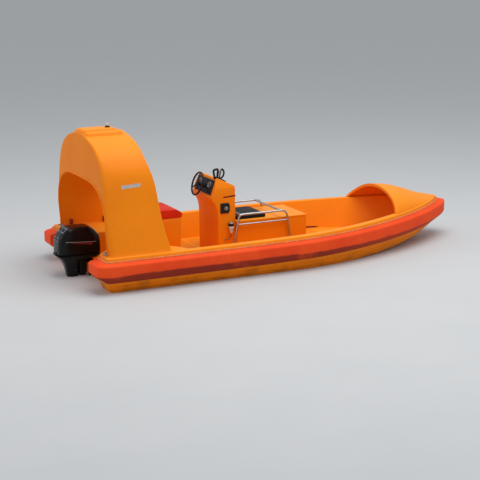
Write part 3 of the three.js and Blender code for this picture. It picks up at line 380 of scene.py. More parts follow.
def skin(loops, around=False, first_cap=True, last_cap=True, zipped=False):
    """A closed shell over closed loops, an array of rows x columns x 3, with flat end caps.
    A zipped cap joins point k to its mirror image, point n - k, as a band of quads."""
    loops = np.asarray(loops, float)
    rows, n = loops.shape[:2]
    faces = grid_faces(rows, n, around).tolist()
    if first_cap and zipped:
        faces.append([0, n - 1, 1])
        faces += [[k, n - k, n - k - 1, k + 1] for k in range(1, (n - 1) // 2)]
    elif first_cap and not around:
        faces.append(list(range(n))[::-1])
    if last_cap and not around:
        faces.append(list(range((rows - 1) * n, rows * n)))
    return outward(loops.reshape(-1, 3), faces)


def together(*shells):
    """Several shells as one: their faces' corner numbers are shifted by the points before them."""
    points, faces, first = [], [], 0
    for shell_points, shell_faces in shells:
        points.append(shell_points)
        faces += [[corner + first for corner in face] for face in shell_faces]
        first += len(shell_points)
    return np.concatenate(points), faces


def mirrored_shell(shell):
    """The other side of the boat: y changes sign, and so does each face's direction."""
    points, faces = shell
    return points * MIRROR, [face[::-1] for face in faces]


def both_sides(shell):
    """A shell and its mirror image, as one."""
    return together(shell, mirrored_shell(shell))


print("a closed band of 3 rows of 4 points has", len(grid_faces(3, 4)), "faces")

# %% [markdown]
# ## From faces to pieces
# A piece is a mesh with a finish, on an object that stays at the origin. It rides on one of the
# moving bodies and may stand for imported nodes. Points that coincide, as at a turned shape's
# poles, are merged. Edges sharper than an angle stay sharp in the shading, and where the real
# corner is rounded a bevel of that radius makes it so.

# %% From faces to pieces


def raw_mesh(name, shell):
    """Millimetres to metres; doubles within 0.02 mm are merged, and faces left with no area go."""
    points, faces = shell
    mesh = bpy.data.meshes.new(name)
    mesh.from_pydata((points * MM).tolist(), [], faces)
    work = bmesh.new()
    work.from_mesh(mesh)
    bmesh.ops.remove_doubles(work, verts=work.verts, dist=2e-5)
    bmesh.ops.dissolve_degenerate(work, dist=1e-5, edges=work.edges)
    work.to_mesh(mesh)
    work.free()
    return mesh


def add_piece(name, shape, material, slot, body="boat", stands_for=(), sharp=38, edge=None):
    """Makes a shell or a mesh an object that rides on a body; edge rounds its corners by a bevel."""
    mesh = shape if isinstance(shape, bpy.types.Mesh) else raw_mesh(name, shape)
    mesh.name = name
    mesh.materials.clear()
    mesh.materials.append(material)
    mesh.shade_smooth()
    mesh.set_sharp_from_angle(angle=np.radians(sharp))
    piece = bpy.data.objects.new(name, mesh)
    bpy.context.collection.objects.link(piece)
    if edge:
        bevel = piece.modifiers.new("rounded edges", "BEVEL")
        bevel.width = edge * MM
        bevel.segments = 3
        bevel.limit_method = "ANGLE"
        bevel.angle_limit = np.radians(sharp)
        bevel.harden_normals = True
    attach(piece, body)
    if stands_for:
        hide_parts(*([stands_for] if isinstance(stands_for, str) else stands_for))
    return piece


def add_moulding(name, shape, stands_for, **more):
    """A piece in orange gelcoat."""
    return add_piece(name, shape, orange_gelcoat, "gelcoat_orange", stands_for=stands_for, **more)


def add_motor_part(name, shape, material, **more):
    """A piece that tilts and steers with the outboard."""
    return add_piece(name, shape, material, "motor_paint", "outboard", **more)


# %% [markdown]
# ## Rounded outlines
# Every outline here is a few straight lines whose corners C are rounded by the curve
# (1-t)^2 A + 2t(1-t) C + t^2 B, between a point A before the corner and a point B after it. That
# is how a template is drawn for a mould, and it never swings past its points as a cubic can.

# %% Rounded outlines
WHOLE_EDGE = 1e4  # a cut that is longer than any edge


def evenly(path, count):
    """Walks a polyline in even steps of its length."""
    path = np.asarray(path, float)
    step = np.linalg.norm(np.diff(path, axis=0), axis=1)
    along = np.concatenate([[0], np.cumsum(step)])
    places = np.linspace(0, along[-1], count)
    return np.column_stack([np.interp(places, along, column) for column in path.T])


def round_rows(rows, cuts, steps=5):
    """Rounds the corners of many closed outlines at once. The cut may differ by corner and by row."""
    rows = np.asarray(rows, float)
    cuts = np.broadcast_to(cuts, rows.shape[:2])
    t = np.linspace(0, 1, steps + 1)[None, :, None]
    out = []
    for k in range(rows.shape[1]):
        here, cut = rows[:, k], cuts[:, k, None]
        if not cut.any():
            out.append(here[:, None])
            continue
        ends = []
        for other in (rows[:, k - 1], rows[:, (k + 1) % rows.shape[1]]):
            edge = other - here
            length = np.maximum(np.linalg.norm(edge, axis=1, keepdims=True), 1e-6)
            ends.append((here + edge * np.minimum(cut, 0.48 * length) / length)[:, None])
        middle = here[:, None]
        out.append((1 - t) ** 2 * ends[0] + 2 * t * (1 - t) * middle + t**2 * ends[1])
    return np.concatenate(out, axis=1)


def rounded(outline, cuts, steps=5):
    """One closed outline with its corners rounded."""
    return round_rows(np.asarray(outline, float)[None], cuts, steps)[0]


def rounded_table(table, steps=6):
    """An outline from a table whose rows are two coordinates and the cut of that corner."""
    table = np.array(table, float)
    return rounded(table[:, :2], table[:, 2], steps)


def rectangle(x0, y0, x1, y1):
    """Its four corners, in order round it."""
    return [(x0, y0), (x1, y0), (x1, y1), (x0, y1)]


def bent(corners, cuts, steps=8):
    """An open path whose inner corners are rounded; its ends stay where they are. A very large
    cut rounds each corner as far as the middles of its two edges, which makes one smooth curve."""
    inner = np.broadcast_to(cuts, len(corners) - 2)
    return rounded(corners, [0, *inner, 0], steps)


def unit(vector):
    """Each vector divided by its length."""
    vector = np.asarray(vector, float)
    return vector / np.linalg.norm(vector, axis=-1, keepdims=True)


def shrunk(outline, distance):
    """Moves each point inwards along the mean of its two edges' normals, by d / (1 + n1 . n2)."""
    p = np.asarray(outline, float)
    edge = unit(np.roll(p, -1, 0) - p)
    area = np.sum(p[:, 0] * np.roll(p[:, 1], -1) - np.roll(p[:, 0], -1) * p[:, 1])
    normal = np.column_stack([-edge[:, 1], edge[:, 0]]) * np.sign(area)
    before = np.roll(normal, 1, 0)
    return p + (normal + before) * distance / (1 + np.sum(normal * before, 1))[:, None]


print("a rounded square has", len(rounded(rectangle(0, 0, 9, 9), 2)), "points")

# %% [markdown]
# ## Tubes, turned shapes and slabs
# A tube needs two directions across its path, and those are carried from point to point so that
# the tube doesn't twist. A turned shape is a profile spun round an axis, as on a lathe. A slab is
# an outline pushed along an axis, and its rims can be rounded by shrinking it near its two ends.

# %% Tubes, turned shapes and slabs
UP = (0, 0, 1)


def tube(path, radius, sides=16, around=False):
    """A circle of that radius, or of one radius per point, carried along the path without twist."""
    path = np.asarray(path, float)
    chord = np.roll(path, -1, 0) - np.roll(path, 1, 0) if around else np.gradient(path, axis=0)
    ahead = unit(chord)
    across = np.empty_like(path)
    guide = np.eye(3)[np.argmin(np.abs(ahead[0]))]
    for i, direction in enumerate(ahead):
        guide = unit(guide - direction * guide.dot(direction))
        across[i] = guide
    other = np.cross(ahead, across)
    angle = np.linspace(0, 2 * np.pi, sides, endpoint=False)
    radius = np.broadcast_to(radius, len(path))[:, None, None]
    ring = np.cos(angle)[:, None] * across[:, None] + np.sin(angle)[:, None] * other[:, None]
    return skin(path[:, None] + radius * ring, around)


def turned(profile, centre, axis=UP, sides=32):
    """Rows of (radius, height) spun round an axis: centre + h a + r (cos u + sin v)."""
    profile = np.asarray(profile, float)
    a = unit(axis)
    u = unit(np.cross(a, np.eye(3)[np.argmin(np.abs(a))]))
    v = np.cross(a, u)
    angle = np.linspace(0, 2 * np.pi, sides, endpoint=False)
    ring = np.cos(angle)[:, None] * u + np.sin(angle)[:, None] * v
    height = profile[:, 1, None, None] * a
    return skin(np.asarray(centre, float) + height + profile[:, 0, None, None] * ring)


def lifted(outline, axis, level):
    """A flat outline in space: (y, z) is placed at an x, (x, z) at a y and (x, y) at a z."""
    return np.insert(np.asarray(outline, float), "xyz".index(axis), level, axis=1)


def slab(outline, axis, low, high):
    """A flat outline pushed along an axis from one level to another."""
    return skin([lifted(outline, axis, level) for level in (low, high)])


def soft_slab(outline, axis, low, high, radius):
    """A slab with rounded rims: where the level is r (1 - sin a) from an end face, the outline has
    shrunk by r (1 - cos a), for a from 0 to 90 degrees."""
    angle = np.linspace(np.pi / 2, 0, 5)
    level, inset = radius * (1 - np.sin(angle)), radius * (1 - np.cos(angle))
    rows = [*zip(low + level, inset), *list(zip(high - level, inset))[::-1]]
    return skin([lifted(shrunk(outline, d), axis, z) for z, d in rows])


def block(low, high, cut=0, axis="z", radius=0):
    """A box between two corners, with the corners of its outline rounded seen along the axis."""
    along = "xyz".index(axis)
    (a0, b0), (a1, b1) = np.delete(low, along), np.delete(high, along)
    outline = rectangle(a0, b0, a1, b1)
    outline = rounded(outline, cut) if cut else outline
    if radius:
        return soft_slab(outline, axis, low[along], high[along], radius)
    return slab(outline, axis, low[along], high[along])


print("a turned disc has", len(turned([(0, 0), (5, 0), (5, 1), (0, 1)], (0, 0, 0))[1]), "faces")

# %% [markdown]
# ## Carving
# A cockpit, a well or a groove is cut out of a solid shape, as in wood. The exact boolean gives
# clean edges where two shells cross. It needs objects, so some are made, and taken away again.

# %% Carving


def carved(name, shell, *cutters):
    """Takes shells away from a shell with the exact boolean and returns the mesh that is left."""
    meshes = [raw_mesh(name, s) if isinstance(s, tuple) else s for s in (shell, *cutters)]
    pieces = [bpy.data.objects.new(name, mesh) for mesh in meshes]
    for piece in pieces:
        bpy.context.collection.objects.link(piece)
    for cutter in pieces[1:]:
        cut = pieces[0].modifiers.new("cut", "BOOLEAN")
        cut.operation = "DIFFERENCE"
        cut.solver = "EXACT"
        cut.object = cutter
    graph = bpy.context.evaluated_depsgraph_get()
    mesh = bpy.data.meshes.new_from_object(pieces[0].evaluated_get(graph))
    for piece in pieces:
        old = piece.data
        bpy.data.objects.remove(piece)
        bpy.data.meshes.remove(old)
    return mesh


print("shells can be carved")

# %% [markdown]
# ## The plan of the boat
# Seen from above, the side is straight to amidships, and from there the bow is a curve of the
# form x = L cos(u)^p, y = B sin(u)^q, fuller than an ellipse. The fender, gunwale, walls and hull
# all follow that curve at some distance inside it, so one function gives the ring for any inset.
# Each ring has the same number of points, and a section can be carried along all of them at once.

# %% The plan of the boat
BOW_LENGTH, HALF_BEAM = 3150, 1297
NOSE_RATIO, NOSE_EXTRA, FENDER_THICK = 1.25, 50, 84
NOSE_POWER, SIDE_POWER = 2 / 1.653, 2 / 1.403
STERN_CORNERS = np.array([[-3035, 870], [-3035, 1220], [-2900, 1297]], float)
STERN_MOVES = np.array([[1, 0], [1, -0.5809], [0.2652, -1]])  # for each millimetre of inset
STERN_EXTRA = 62  # the fender's end at the stern is thicker by this
BOW_STEPS = 72
TURN = np.linspace(np.pi / 2, 0, BOW_STEPS)
SIDE_X = np.linspace(-2300, -120, 14)
SHEER_AFT, SHEER_LENGTH = -3035, 6185


def bow_curve(length, half_beam):
    """x = L cos(u)^p and y = B sin(u)^q, from amidships to the nose."""
    return np.column_stack([length * np.cos(TURN) ** NOSE_POWER, half_beam * np.sin(TURN) ** SIDE_POWER])


def ring_of(corners, half_beam, nose_x, corner_cut=70):
    """A whole ring, aft to forward: rounded stern corners, straight side, bow curve."""
    side = np.column_stack([SIDE_X, np.full(len(SIDE_X), half_beam)])
    stern = rounded([*corners, side[0]], [0, corner_cut, corner_cut, 0])[:-1]
    return np.concatenate([stern, side, bow_curve(nose_x, half_beam)])


def nose_inset_of(inset):
    """The fender is thicker at the nose, so what stands inside it starts further back there."""
    return inset * NOSE_RATIO + NOSE_EXTRA * min(inset / FENDER_THICK, 1)


def plan_ring(inset, nose_inset=None):
    """The ring that far inside the fender's face; each stern corner moves in by its own rate."""
    corners = STERN_CORNERS + STERN_MOVES * inset
    corners[:2, 0] += STERN_EXTRA * min(inset / FENDER_THICK, 1)
    if corners[2, 0] < corners[1, 0]:
        corners[1:] = corners[1, 0], HALF_BEAM - inset
    nose = nose_inset_of(inset) if nose_inset is None else nose_inset
    return ring_of(corners, HALF_BEAM - inset, BOW_LENGTH - nose)


EDGE_X = plan_ring(0)[:, 0]


def sheer(x):
    """Height of the fender's upper edge: a cubic in the fraction of the length from the stern."""
    part = (np.asarray(x, float) - SHEER_AFT) / SHEER_LENGTH
    return 397 - 23 * part + 32 * part**2 + 122 * part**3


def carried(section):
    """Rows: inset, rise above the sheer or level as ("z", mm), nose inset or None, corner cut."""
    rows = []
    for inset, rise, nose_inset, _ in section:
        height = np.full(len(EDGE_X), rise[1]) if isinstance(rise, tuple) else sheer(EDGE_X) + rise
        rows.append(np.column_stack([plan_ring(inset, nose_inset), height]))
    return round_rows(np.stack(rows, axis=1), [row[3] for row in section])


def round_the_boat(loops):
    """Port loops from stern to nose, then the same loops mirrored, from the nose to the stern."""
    return np.concatenate([loops, loops[-2::-1] * MIRROR])


print("plan ring has", len(EDGE_X), "points; sheer at the nose", round(float(sheer(BOW_LENGTH))), "mm")

# %% [markdown]
# ## The fender
# The fender is one long bar of foam on each side, cut off square at the stern and butted together
# at the nose. Its section is a blunt wedge: a narrow slope on top, an upright face and a long
# slope underneath, with corners rounded to some 15 mm. The face is not equally deep all along the
# boat, so the height of its foot is a table over the length.

# %% The fender
FACE_X, FACE_FOOT = [-2870, -2700, -700, 500, 2000], [-148, -130, -128, -148, -158]
UNDERSIDE = 251  # how far the inner edge of the underside lies below the sheer
FENDER_SECTION = [
    (0, 0, None, 22),
    (0, np.interp(EDGE_X, FACE_X, FACE_FOOT), None, 20),
    (84, -UNDERSIDE, None, 10),
    (84, 39, None, 6),
]

loops = carried(FENDER_SECTION)
loops[..., 1] = np.maximum(loops[..., 1], 0.4)  # just clear of the other side's, at the nose
fender = skin(loops)
for side_name, shell in (("port", fender), ("starboard", mirrored_shell(fender))):
    add_piece(f"fender_{side_name}_foam", shell, foam_skin, "fender_foam",
              stands_for=f"fender_{side_name}", sharp=50)
print("fender points each side:", len(fender[0]))

# %% [markdown]
# ## Seam and clips
# A wide bead of orange sealant, stained brown in places, closes the joint between fender and
# gunwale, with a small clip every third of a metre. The bead is a tube along the ring, and the
# clips are one small block, placed by turning it to the direction of the seam at even steps.

# %% Seam and clips
SEAM_INSET, SEAM_RISE, SEAM_RADIUS = 80, 39, 13
CLIP_COUNT, CLIP_LONG, CLIP_WIDE = 19, 18, 12  # a clip's half length and half width
CLIP_FOOT, CLIP_TOP = -10, 14


def clips(path):
    """A block's corner is here + a x ahead + b x beside + c x up, with ahead along the seam."""
    places = evenly(path[8:-6], CLIP_COUNT)
    ahead = unit(np.gradient(places, axis=0) * [1, 1, 0])
    beside = np.stack([-ahead[:, 1], ahead[:, 0], np.zeros(CLIP_COUNT)], 1)
    ring = rectangle(-CLIP_LONG, -CLIP_WIDE, CLIP_LONG, CLIP_WIDE)
    corners = np.concatenate([lifted(ring, "z", level) for level in (CLIP_FOOT, CLIP_TOP)])
    points = (places[:, None] + corners[:, :1] * ahead[:, None] + corners[:, 1:2] * beside[:, None]
              + corners[:, 2:] * np.array(UP))
    return together(*[skin(clip.reshape(2, 4, 3)) for clip in points])


seam = np.column_stack([plan_ring(SEAM_INSET), sheer(EDGE_X) + SEAM_RISE])
add_piece("seam_sealant", both_sides(tube(seam, SEAM_RADIUS, 12)), sealant, "fender_foam")
add_piece("seam_clips", both_sides(clips(seam)), clip_plastic, "fender_foam", edge=3)
print("clips:", 2 * CLIP_COUNT)

# %% [markdown]
# ## The hull
# The hull's bottom is a shallow vee. Its lines are the keel, the chine and a small step above it,
# the spray rail. Each is a ring like the plan rings, and joining them gives one closed section
# per station. The cockpit, the motor's well and the open stern are then carved out,
# which leaves the two buoyant pods beside the motor and the cut-down transom between them.

# %% The hull
KEEL_Z, KEEL_FORE, KEEL_RISE = -370, 2620, 430
CHINE_Z, CHINE_FORE, CHINE_RISE, CHINE_HALF = -12, 2815, 182, 1120
KEEL_STERN = np.array([[-2750, 0], [-2745, 0], [-2700, 0]], float)
CHINE_STERN = np.array([[-2815, 1085], [-2812, 1090], [-2770, CHINE_HALF]], float)
SPRAY_RAIL = [(0.40, 1.0), (0.43, 1.016), (0.50, 1.018), (0.52, 1.0)]  # way down, stands out
WELL_AFT, WELL_NECK = np.array([-2889, 870]), np.array([-2475, 385])
WELL_FORWARD, WELL_FLOOR = -2130, 20
TRANSOM_X, TRANSOM_FRONT_X, TRANSOM_TOP = -2750, -2705, 165
POD_AFT, POD_SIDE = -2420, 1180
POD_FRONT = [(-1850, 828), (-1782, 888), (-1731, 984), (-1690, 1090), (-1680, POD_SIDE)]
WALL_TOP_INSET, WALL_FOOT_INSET, WALL_FOOT_NOSE = 199, 315, 685  # the outer side of the cockpit's wall
LOW, HIGH = -500, 900  # levels under and over all that is cut away
pod_curve = bent(POD_FRONT, WHOLE_EDGE, 6)


def both_halves(half):
    """A port outline and its mirror image, as one closed outline."""
    half = np.asarray(half, float)
    return np.concatenate([half, half[::-1] * [1, -1]])


def closed_over(half):
    """Port rows of points and their mirror images, as rows that close on themselves."""
    return np.concatenate([half, half[:, ::-1] * MIRROR], axis=1)


def well_half_width(x):
    """The diagonal stern wall: a straight line from the well's aft corner to its neck."""
    part = (x - WELL_AFT[0]) / (WELL_NECK[0] - WELL_AFT[0])
    return WELL_AFT[1] + (WELL_NECK[1] - WELL_AFT[1]) * part


def hull_loops():
    """Keel and chine rise towards the bow as z0 + r (x / L)^p. The side between chine and fender
    is straight, but for the rail, whose points are moved out by a small factor."""
    joint = plan_ring(FENDER_THICK + 0.4)
    keel = ring_of(KEEL_STERN, 0, KEEL_FORE)
    chine = ring_of(CHINE_STERN, CHINE_HALF, CHINE_FORE, 20)
    keel_z = KEEL_Z + KEEL_RISE * np.clip(keel[:, 0] / KEEL_FORE, 0, 1) ** 3.2
    chine_z = CHINE_Z + CHINE_RISE * np.clip(chine[:, 0] / CHINE_FORE, 0, 1) ** 2.4
    top = np.column_stack([joint, sheer(EDGE_X) + 34])
    low = np.column_stack([joint, sheer(EDGE_X) - UNDERSIDE + 1])
    foot = np.column_stack([chine, chine_z])
    rail = [(low + (foot - low) * down) * np.array([1, out, 1]) for down, out in SPRAY_RAIL]
    half = np.stack([foot, *rail[::-1], low, top], axis=1)
    keel_line = np.column_stack([keel, keel_z])[:, None]
    return np.concatenate([keel_line, closed_over(half)], axis=1)


def cockpit_loops():
    """What the deck's walls enclose: straight down from the gunwale, then in towards the floor."""
    section = [
        (WALL_TOP_INSET, 300, None, 0),
        (WALL_TOP_INSET, 69, None, 0),
        (WALL_FOOT_INSET, ("z", 79.5), WALL_FOOT_NOSE, 0),
    ]
    return closed_over(carried(section)[EDGE_X > -2000])


pods_outline = both_halves([(POD_AFT, POD_SIDE), *pod_curve[::-1]])
behind_front = slab(shrunk(pods_outline, 12), "z", LOW, HIGH)
transom_half = well_half_width(TRANSOM_FRONT_X)
well = slab(both_halves([(TRANSOM_FRONT_X, transom_half), WELL_NECK, (WELL_FORWARD, WELL_NECK[1])]),
            "z", WELL_FLOOR, HIGH)
stern_half = [(-3400, WELL_AFT[1]), WELL_AFT, (TRANSOM_X, well_half_width(TRANSOM_X))]
open_stern = slab(both_halves(stern_half), "z", LOW - 100, HIGH)
over_transom = block((TRANSOM_X - 30, -transom_half, TRANSOM_TOP),
                     (TRANSOM_FRONT_X + 30, transom_half, HIGH))
cockpit_mesh = carved("cockpit", skin(cockpit_loops()), behind_front)
hull_shell = skin(hull_loops(), last_cap=False, zipped=True)
hull_mesh = carved("hull_moulding", hull_shell, cockpit_mesh, well, open_stern, over_transom)
add_piece("hull_moulding", hull_mesh, hull_gelcoat, "gelcoat_orange", stands_for="hull", sharp=20)
print("hull faces:", len(hull_mesh.polygons))

# %% [markdown]
# ## The deck moulding
# Gunwale, cockpit walls and aft deck come out of one mould. The gunwale and wall share a section
# that is carried all the way round. The aft deck is a plate with a slot for the motor, and a thin
# lip hangs from each side of the slot. The front of the pods is a thin wall that follows the
# plate's front edge.

# %% The deck moulding
WALL_INNER, WALL_INNER_NOSE = 330, 700  # the inner side of the wall's foot
DECK_SECTION = [
    (90, 40, None, 4),
    (104, 85, None, 12),
    (214, 85, None, 14),
    (WALL_INNER, ("z", 80), WALL_INNER_NOSE, 0),
    (WALL_FOOT_INSET, ("z", 80), WALL_FOOT_NOSE, 0),
    (WALL_TOP_INSET, 70, None, 8),
    (122, 70, None, 8),
    (99, 40, None, 3),
]
DECK_TOP, DECK_UNDER = 480, 465
DECK_AFT, DECK_OUTER, DECK_FORE = -2866, 1103, -1685
SLOT_GAP, LIP_THICKNESS, LIP_FOOT = 2, 7, 420
POD_WALL_THICK = 15

ring_shell = skin(round_the_boat(carried(DECK_SECTION)))
stern_walls = block((-2862, -1150, LOW), (-1985, 1150, DECK_UNDER - 2))
under_deck = slab(shrunk(pods_outline, 7), "z", LOW, DECK_UNDER - 2)
gunwale_mesh = carved("gunwale_and_walls", ring_shell, stern_walls, under_deck)
add_moulding("gunwale_and_walls", gunwale_mesh, "deck_moulding", sharp=30)


def aft_deck_outline():
    """Along the slot to the stern, out, forward along the gunwale and in along the pods' front."""
    front = [(x, y) for x, y in pod_curve[::-1] if y < 1085]
    slot_half = WELL_NECK[1] + SLOT_GAP
    slot = [(WELL_FORWARD + SLOT_GAP, slot_half), (WELL_NECK[0] - SLOT_GAP, slot_half),
            (DECK_AFT, well_half_width(DECK_AFT) + SLOT_GAP)]
    return both_halves([*slot, (DECK_AFT, DECK_OUTER), (DECK_FORE, DECK_OUTER), *front])


def pod_wall_outline():
    """The pods' front from side to side, and back again one wall's thickness further aft."""
    half = pod_curve[pod_curve[:, 1] < 1100]
    face = np.concatenate([half[::-1], half * [1, -1]])
    return np.concatenate([face, face[::-1] - [POD_WALL_THICK, 0]])


deck_shell = soft_slab(aft_deck_outline(), "z", DECK_UNDER, DECK_TOP, 5)
pod_shell = slab(pod_wall_outline(), "z", 80, DECK_UNDER + 2)
away = unit([WELL_AFT[1] - WELL_NECK[1], WELL_NECK[0] - WELL_AFT[0]])
lip_near, lip_far = away * SLOT_GAP, away * (SLOT_GAP + LIP_THICKNESS)
lip_outline = [WELL_AFT + lip_near, WELL_NECK + lip_near, WELL_NECK + lip_far, WELL_AFT + lip_far]
lip = slab(lip_outline, "z", LIP_FOOT, DECK_UNDER + 2)
add_moulding("aft_deck", deck_shell, "deck_moulding")
add_moulding("pod_front_wall", pod_shell, "deck_moulding")
add_moulding("slot_lips", both_sides(lip), "deck_moulding")
print("deck faces:", len(gunwale_mesh.polygons) + len(deck_shell[1]))

# %% [markdown]
# ## The cockpit floor
# The floor is a flat panel, bonded in under the walls, with panels of raised grain for grip. Its
# edge runs into the thickness of the wall, so no gap shows. The grain is fine grit on the real
# one, and is drawn coarser so that it shows from some metres away. A rubber drain lies at the foot
# of each wall, along the wall's own curve.

# %% The cockpit floor
FLOOR_TOP, FLOOR_UNDER = 105, 81
GRIP_THICK, GRIP_SUNK = 1.6, 1
CONSOLE_BACK, BOX_FRONT = -905, 499
DRAIN_X, DRAIN_STEPS, DRAIN_PART = 1195, 5, 0.088
GRIP_AREAS = [
    (-1400, -880, -960, 880, 40),
    (CONSOLE_BACK, 480, BOX_FRONT, 900, 40),
    (CONSOLE_BACK, -900, BOX_FRONT, -480, 40),
    (540, -800, 1130, 800, 60),
]  # x and y of two corners, corner cut


def floor_outline(inset, nose):
    """The wall's ring at that inset, closed aft by the pods' front, 4 mm ahead of it."""
    half = plan_ring(inset, nose)
    pod = pod_curve[pod_curve[:, 1] < 960] + [4, 0]
    return both_halves(np.concatenate([pod, half[half[:, 0] > -1660]]))


def wall_place(i, part):
    """A place on the cockpit's wall at ring point i, that part of the way up from its foot."""
    foot = np.array([*plan_ring(WALL_INNER, WALL_INNER_NOSE)[i], 80.0])
    top = np.array([*plan_ring(214)[i], sheer(EDGE_X[i]) + 85])
    return foot + (top - foot) * part


floor_shell = slab(floor_outline(322, 690), "z", FLOOR_UNDER, FLOOR_TOP)
add_moulding("floor_panel", floor_shell, "cockpit_floor")
grips = [
    block((x0, y0, FLOOR_TOP - GRIP_SUNK), (x1, y1, FLOOR_TOP + GRIP_THICK), cut)
    for x0, y0, x1, y1, cut in GRIP_AREAS
]
add_piece("floor_grip_panels", together(*grips), nonskid_gelcoat, "gelcoat_orange")
wall_foot_x = plan_ring(WALL_INNER, WALL_INNER_NOSE)[:, 0]
drain_points = np.sort(np.argsort(np.abs(wall_foot_x - DRAIN_X))[:DRAIN_STEPS])
drain_row = np.array([wall_place(i, DRAIN_PART) for i in drain_points])
drain_radius = np.interp(np.linspace(0, 1, DRAIN_STEPS), [0, 0.7, 1], [13, 12, 5])
add_piece("wall_drains", both_sides(tube(drain_row, drain_radius, 12)), red_rubber, "black_plastic")
print("grip panels:", len(grips), "and two drains")

# %% [markdown]
# ## The righting arch
# The arch is a hollow moulding that floats: if the boat capsizes, it lifts the stern and turns the
# hull back. Seen from aft it is a tall arch with an opening, and seen from the side it leans
# forward less and less with height. So its section is a rounded box whose outer side follows one
# curve, its inner side another, and whose front edge depends on the height. Walking both curves
# in the same number of even steps gives matching points. A bead runs round the opening's aft edge.

# %% The righting arch
ARCH_BASE, ARCH_AFT = 479, -2830
ARCH_OUTER = [
    (1150, ARCH_BASE), (1119, 640), (1080, 860), (1040, 1060), (1012, 1230), (978, 1400), (945, 1520),
    (895, 1625), (810, 1740), (700, 1830), (540, 1905), (340, 1960), (170, 1997), (0, 2010),
]
ARCH_INNER = [
    (1030, ARCH_BASE), (1030, 940), (1008, 1040), (960, 1136), (905, 1200), (850, 1250), (750, 1312),
    (630, 1356), (500, 1380), (340, 1390), (0, 1392),
]
ARCH_FRONT = [
    (-1940, ARCH_BASE), (-2036, 845), (-2080, 1200), (-2103, 1420), (-2145, 1585), (-2182, 1726),
    (-2191, 1860), (-2192, 1940), (-2212, 2005), (-2225, 2040),
]
ARCH_STATIONS = 261
FLARE, FLARE_HEIGHT = 9, 34
FOOT_LEAN, LEAN_TOP = 25, 860  # the aft edge comes forward by that much, below that height
BEAD_RADIUS, BEAD_OUT = 11, 4


def over_the_top(half):
    """A half outline from its foot to the crown, and its mirror image down the other side."""
    half = np.asarray(half, float)
    return bent(np.concatenate([half, half[-2::-1] * [-1, 1]]), WHOLE_EDGE, 6)


def arch_front_x(z):
    """The front edge at a height, from its rounded template."""
    edge = bent(ARCH_FRONT, WHOLE_EDGE, 6)
    return np.interp(z, edge[:, 1], edge[:, 0])


def arch_aft_x(z):
    """The aft edge at a height: upright, but for the lean of its foot."""
    return ARCH_AFT + FOOT_LEAN * np.clip((LEAN_TOP - z) / (LEAN_TOP - ARCH_BASE), 0, 1)


def arch_half_width(z):
    """Half the arch's width over its outer sides at a height."""
    half = over_the_top(ARCH_OUTER)
    half = half[half[:, 0] > 0]
    return np.interp(z, half[:, 1], half[:, 0])


def bead_path():
    """The aft edge of the opening, a little inside the corner of the section."""
    edge = evenly(over_the_top(ARCH_INNER), ARCH_STATIONS)
    y = edge[:, 0] + BEAD_OUT * np.sign(edge[:, 0])
    z = edge[:, 1] + BEAD_OUT * (np.abs(y) < 900)
    return np.column_stack([arch_aft_x(edge[:, 1]) - 3, y, z])


def arch_loops():
    """Corners: aft outer, front outer, front inner, aft inner. At the foot they flare out by
    F (1 - h / H)^2, which is the fillet where the arch meets the deck."""
    outer = evenly(over_the_top(ARCH_OUTER), ARCH_STATIONS)
    inner = evenly(over_the_top(ARCH_INNER), ARCH_STATIONS)
    flare = FLARE * np.clip(1 - (outer[:, 1] - ARCH_BASE) / FLARE_HEIGHT, 0, 1) ** 2
    outer_y = outer[:, 0] + np.sign(outer[:, 0]) * flare
    inner_y = inner[:, 0] - np.sign(inner[:, 0]) * flare
    corners = [
        (arch_aft_x(outer[:, 1]) - flare, outer_y, outer[:, 1]),
        (arch_front_x(outer[:, 1]) + flare, outer_y, outer[:, 1]),
        (arch_front_x(inner[:, 1]) + flare, inner_y, inner[:, 1]),
        (arch_aft_x(inner[:, 1]) - flare, inner_y, inner[:, 1]),
    ]
    rows = np.stack([np.column_stack(corner) for corner in corners], axis=1)
    aft_cut = np.interp(outer[:, 1], [1500, 1950], [74, 32])
    cuts = np.column_stack([aft_cut, np.tile([20, 24, 24], (ARCH_STATIONS, 1))])
    return round_rows(rows, cuts, 7)


arch = skin(arch_loops())
add_moulding("righting_arch_moulding", arch, "righting_arch")
add_moulding("arch_opening_bead", tube(bead_path(), BEAD_RADIUS, 12), "righting_arch")
print("arch points:", len(arch[0]))

# %% [markdown]
# ## The pad on the crown
# A raised platform of two steps stiffens the crown and carries the light. Each step is a slab
# along the boat whose section has sloping, rounded sides and whose ends slope down to the arch.

# %% The pad on the crown
PAD_START = -2828
LOW_STEP = [(-285, 1955), (285, 1955), (248, 2026), (-248, 2026)]
TOP_STEP = [(-165, 1985), (165, 1985), (138, 2048), (-138, 2048)]


def crown_step(outline, cut, front, aft_slope, front_slope):
    """A section along the boat whose height eases from nothing at each end, by 1 - (1 - t)^2."""
    section = rounded(outline, [0, 0, cut, cut])
    foot = section[:, 1].min()
    x = np.concatenate([np.linspace(PAD_START, PAD_START + aft_slope, 10),
                        np.linspace(front - front_slope, front, 8)])
    way_in = np.clip(np.minimum((x - PAD_START) / aft_slope, (front - x) / front_slope), 0.02, 1)
    ease = (1 - (1 - way_in) ** 2)[:, None]
    y = section[None, :, 0] * (0.9 + 0.1 * ease)
    z = foot + (section[None, :, 1] - foot) * ease
    return skin(np.stack([np.broadcast_to(x[:, None], y.shape), y, z], axis=-1))


low_step = crown_step(LOW_STEP, 34, -2254, 62, 60)
top_step = crown_step(TOP_STEP, 18, -2306, 52, 40)
add_moulding("arch_crown_step", low_step, "arch_top_pad")
add_moulding("arch_light_step", top_step, "arch_top_pad")
print("crown steps:", len(low_step[0]) + len(top_step[0]), "points")

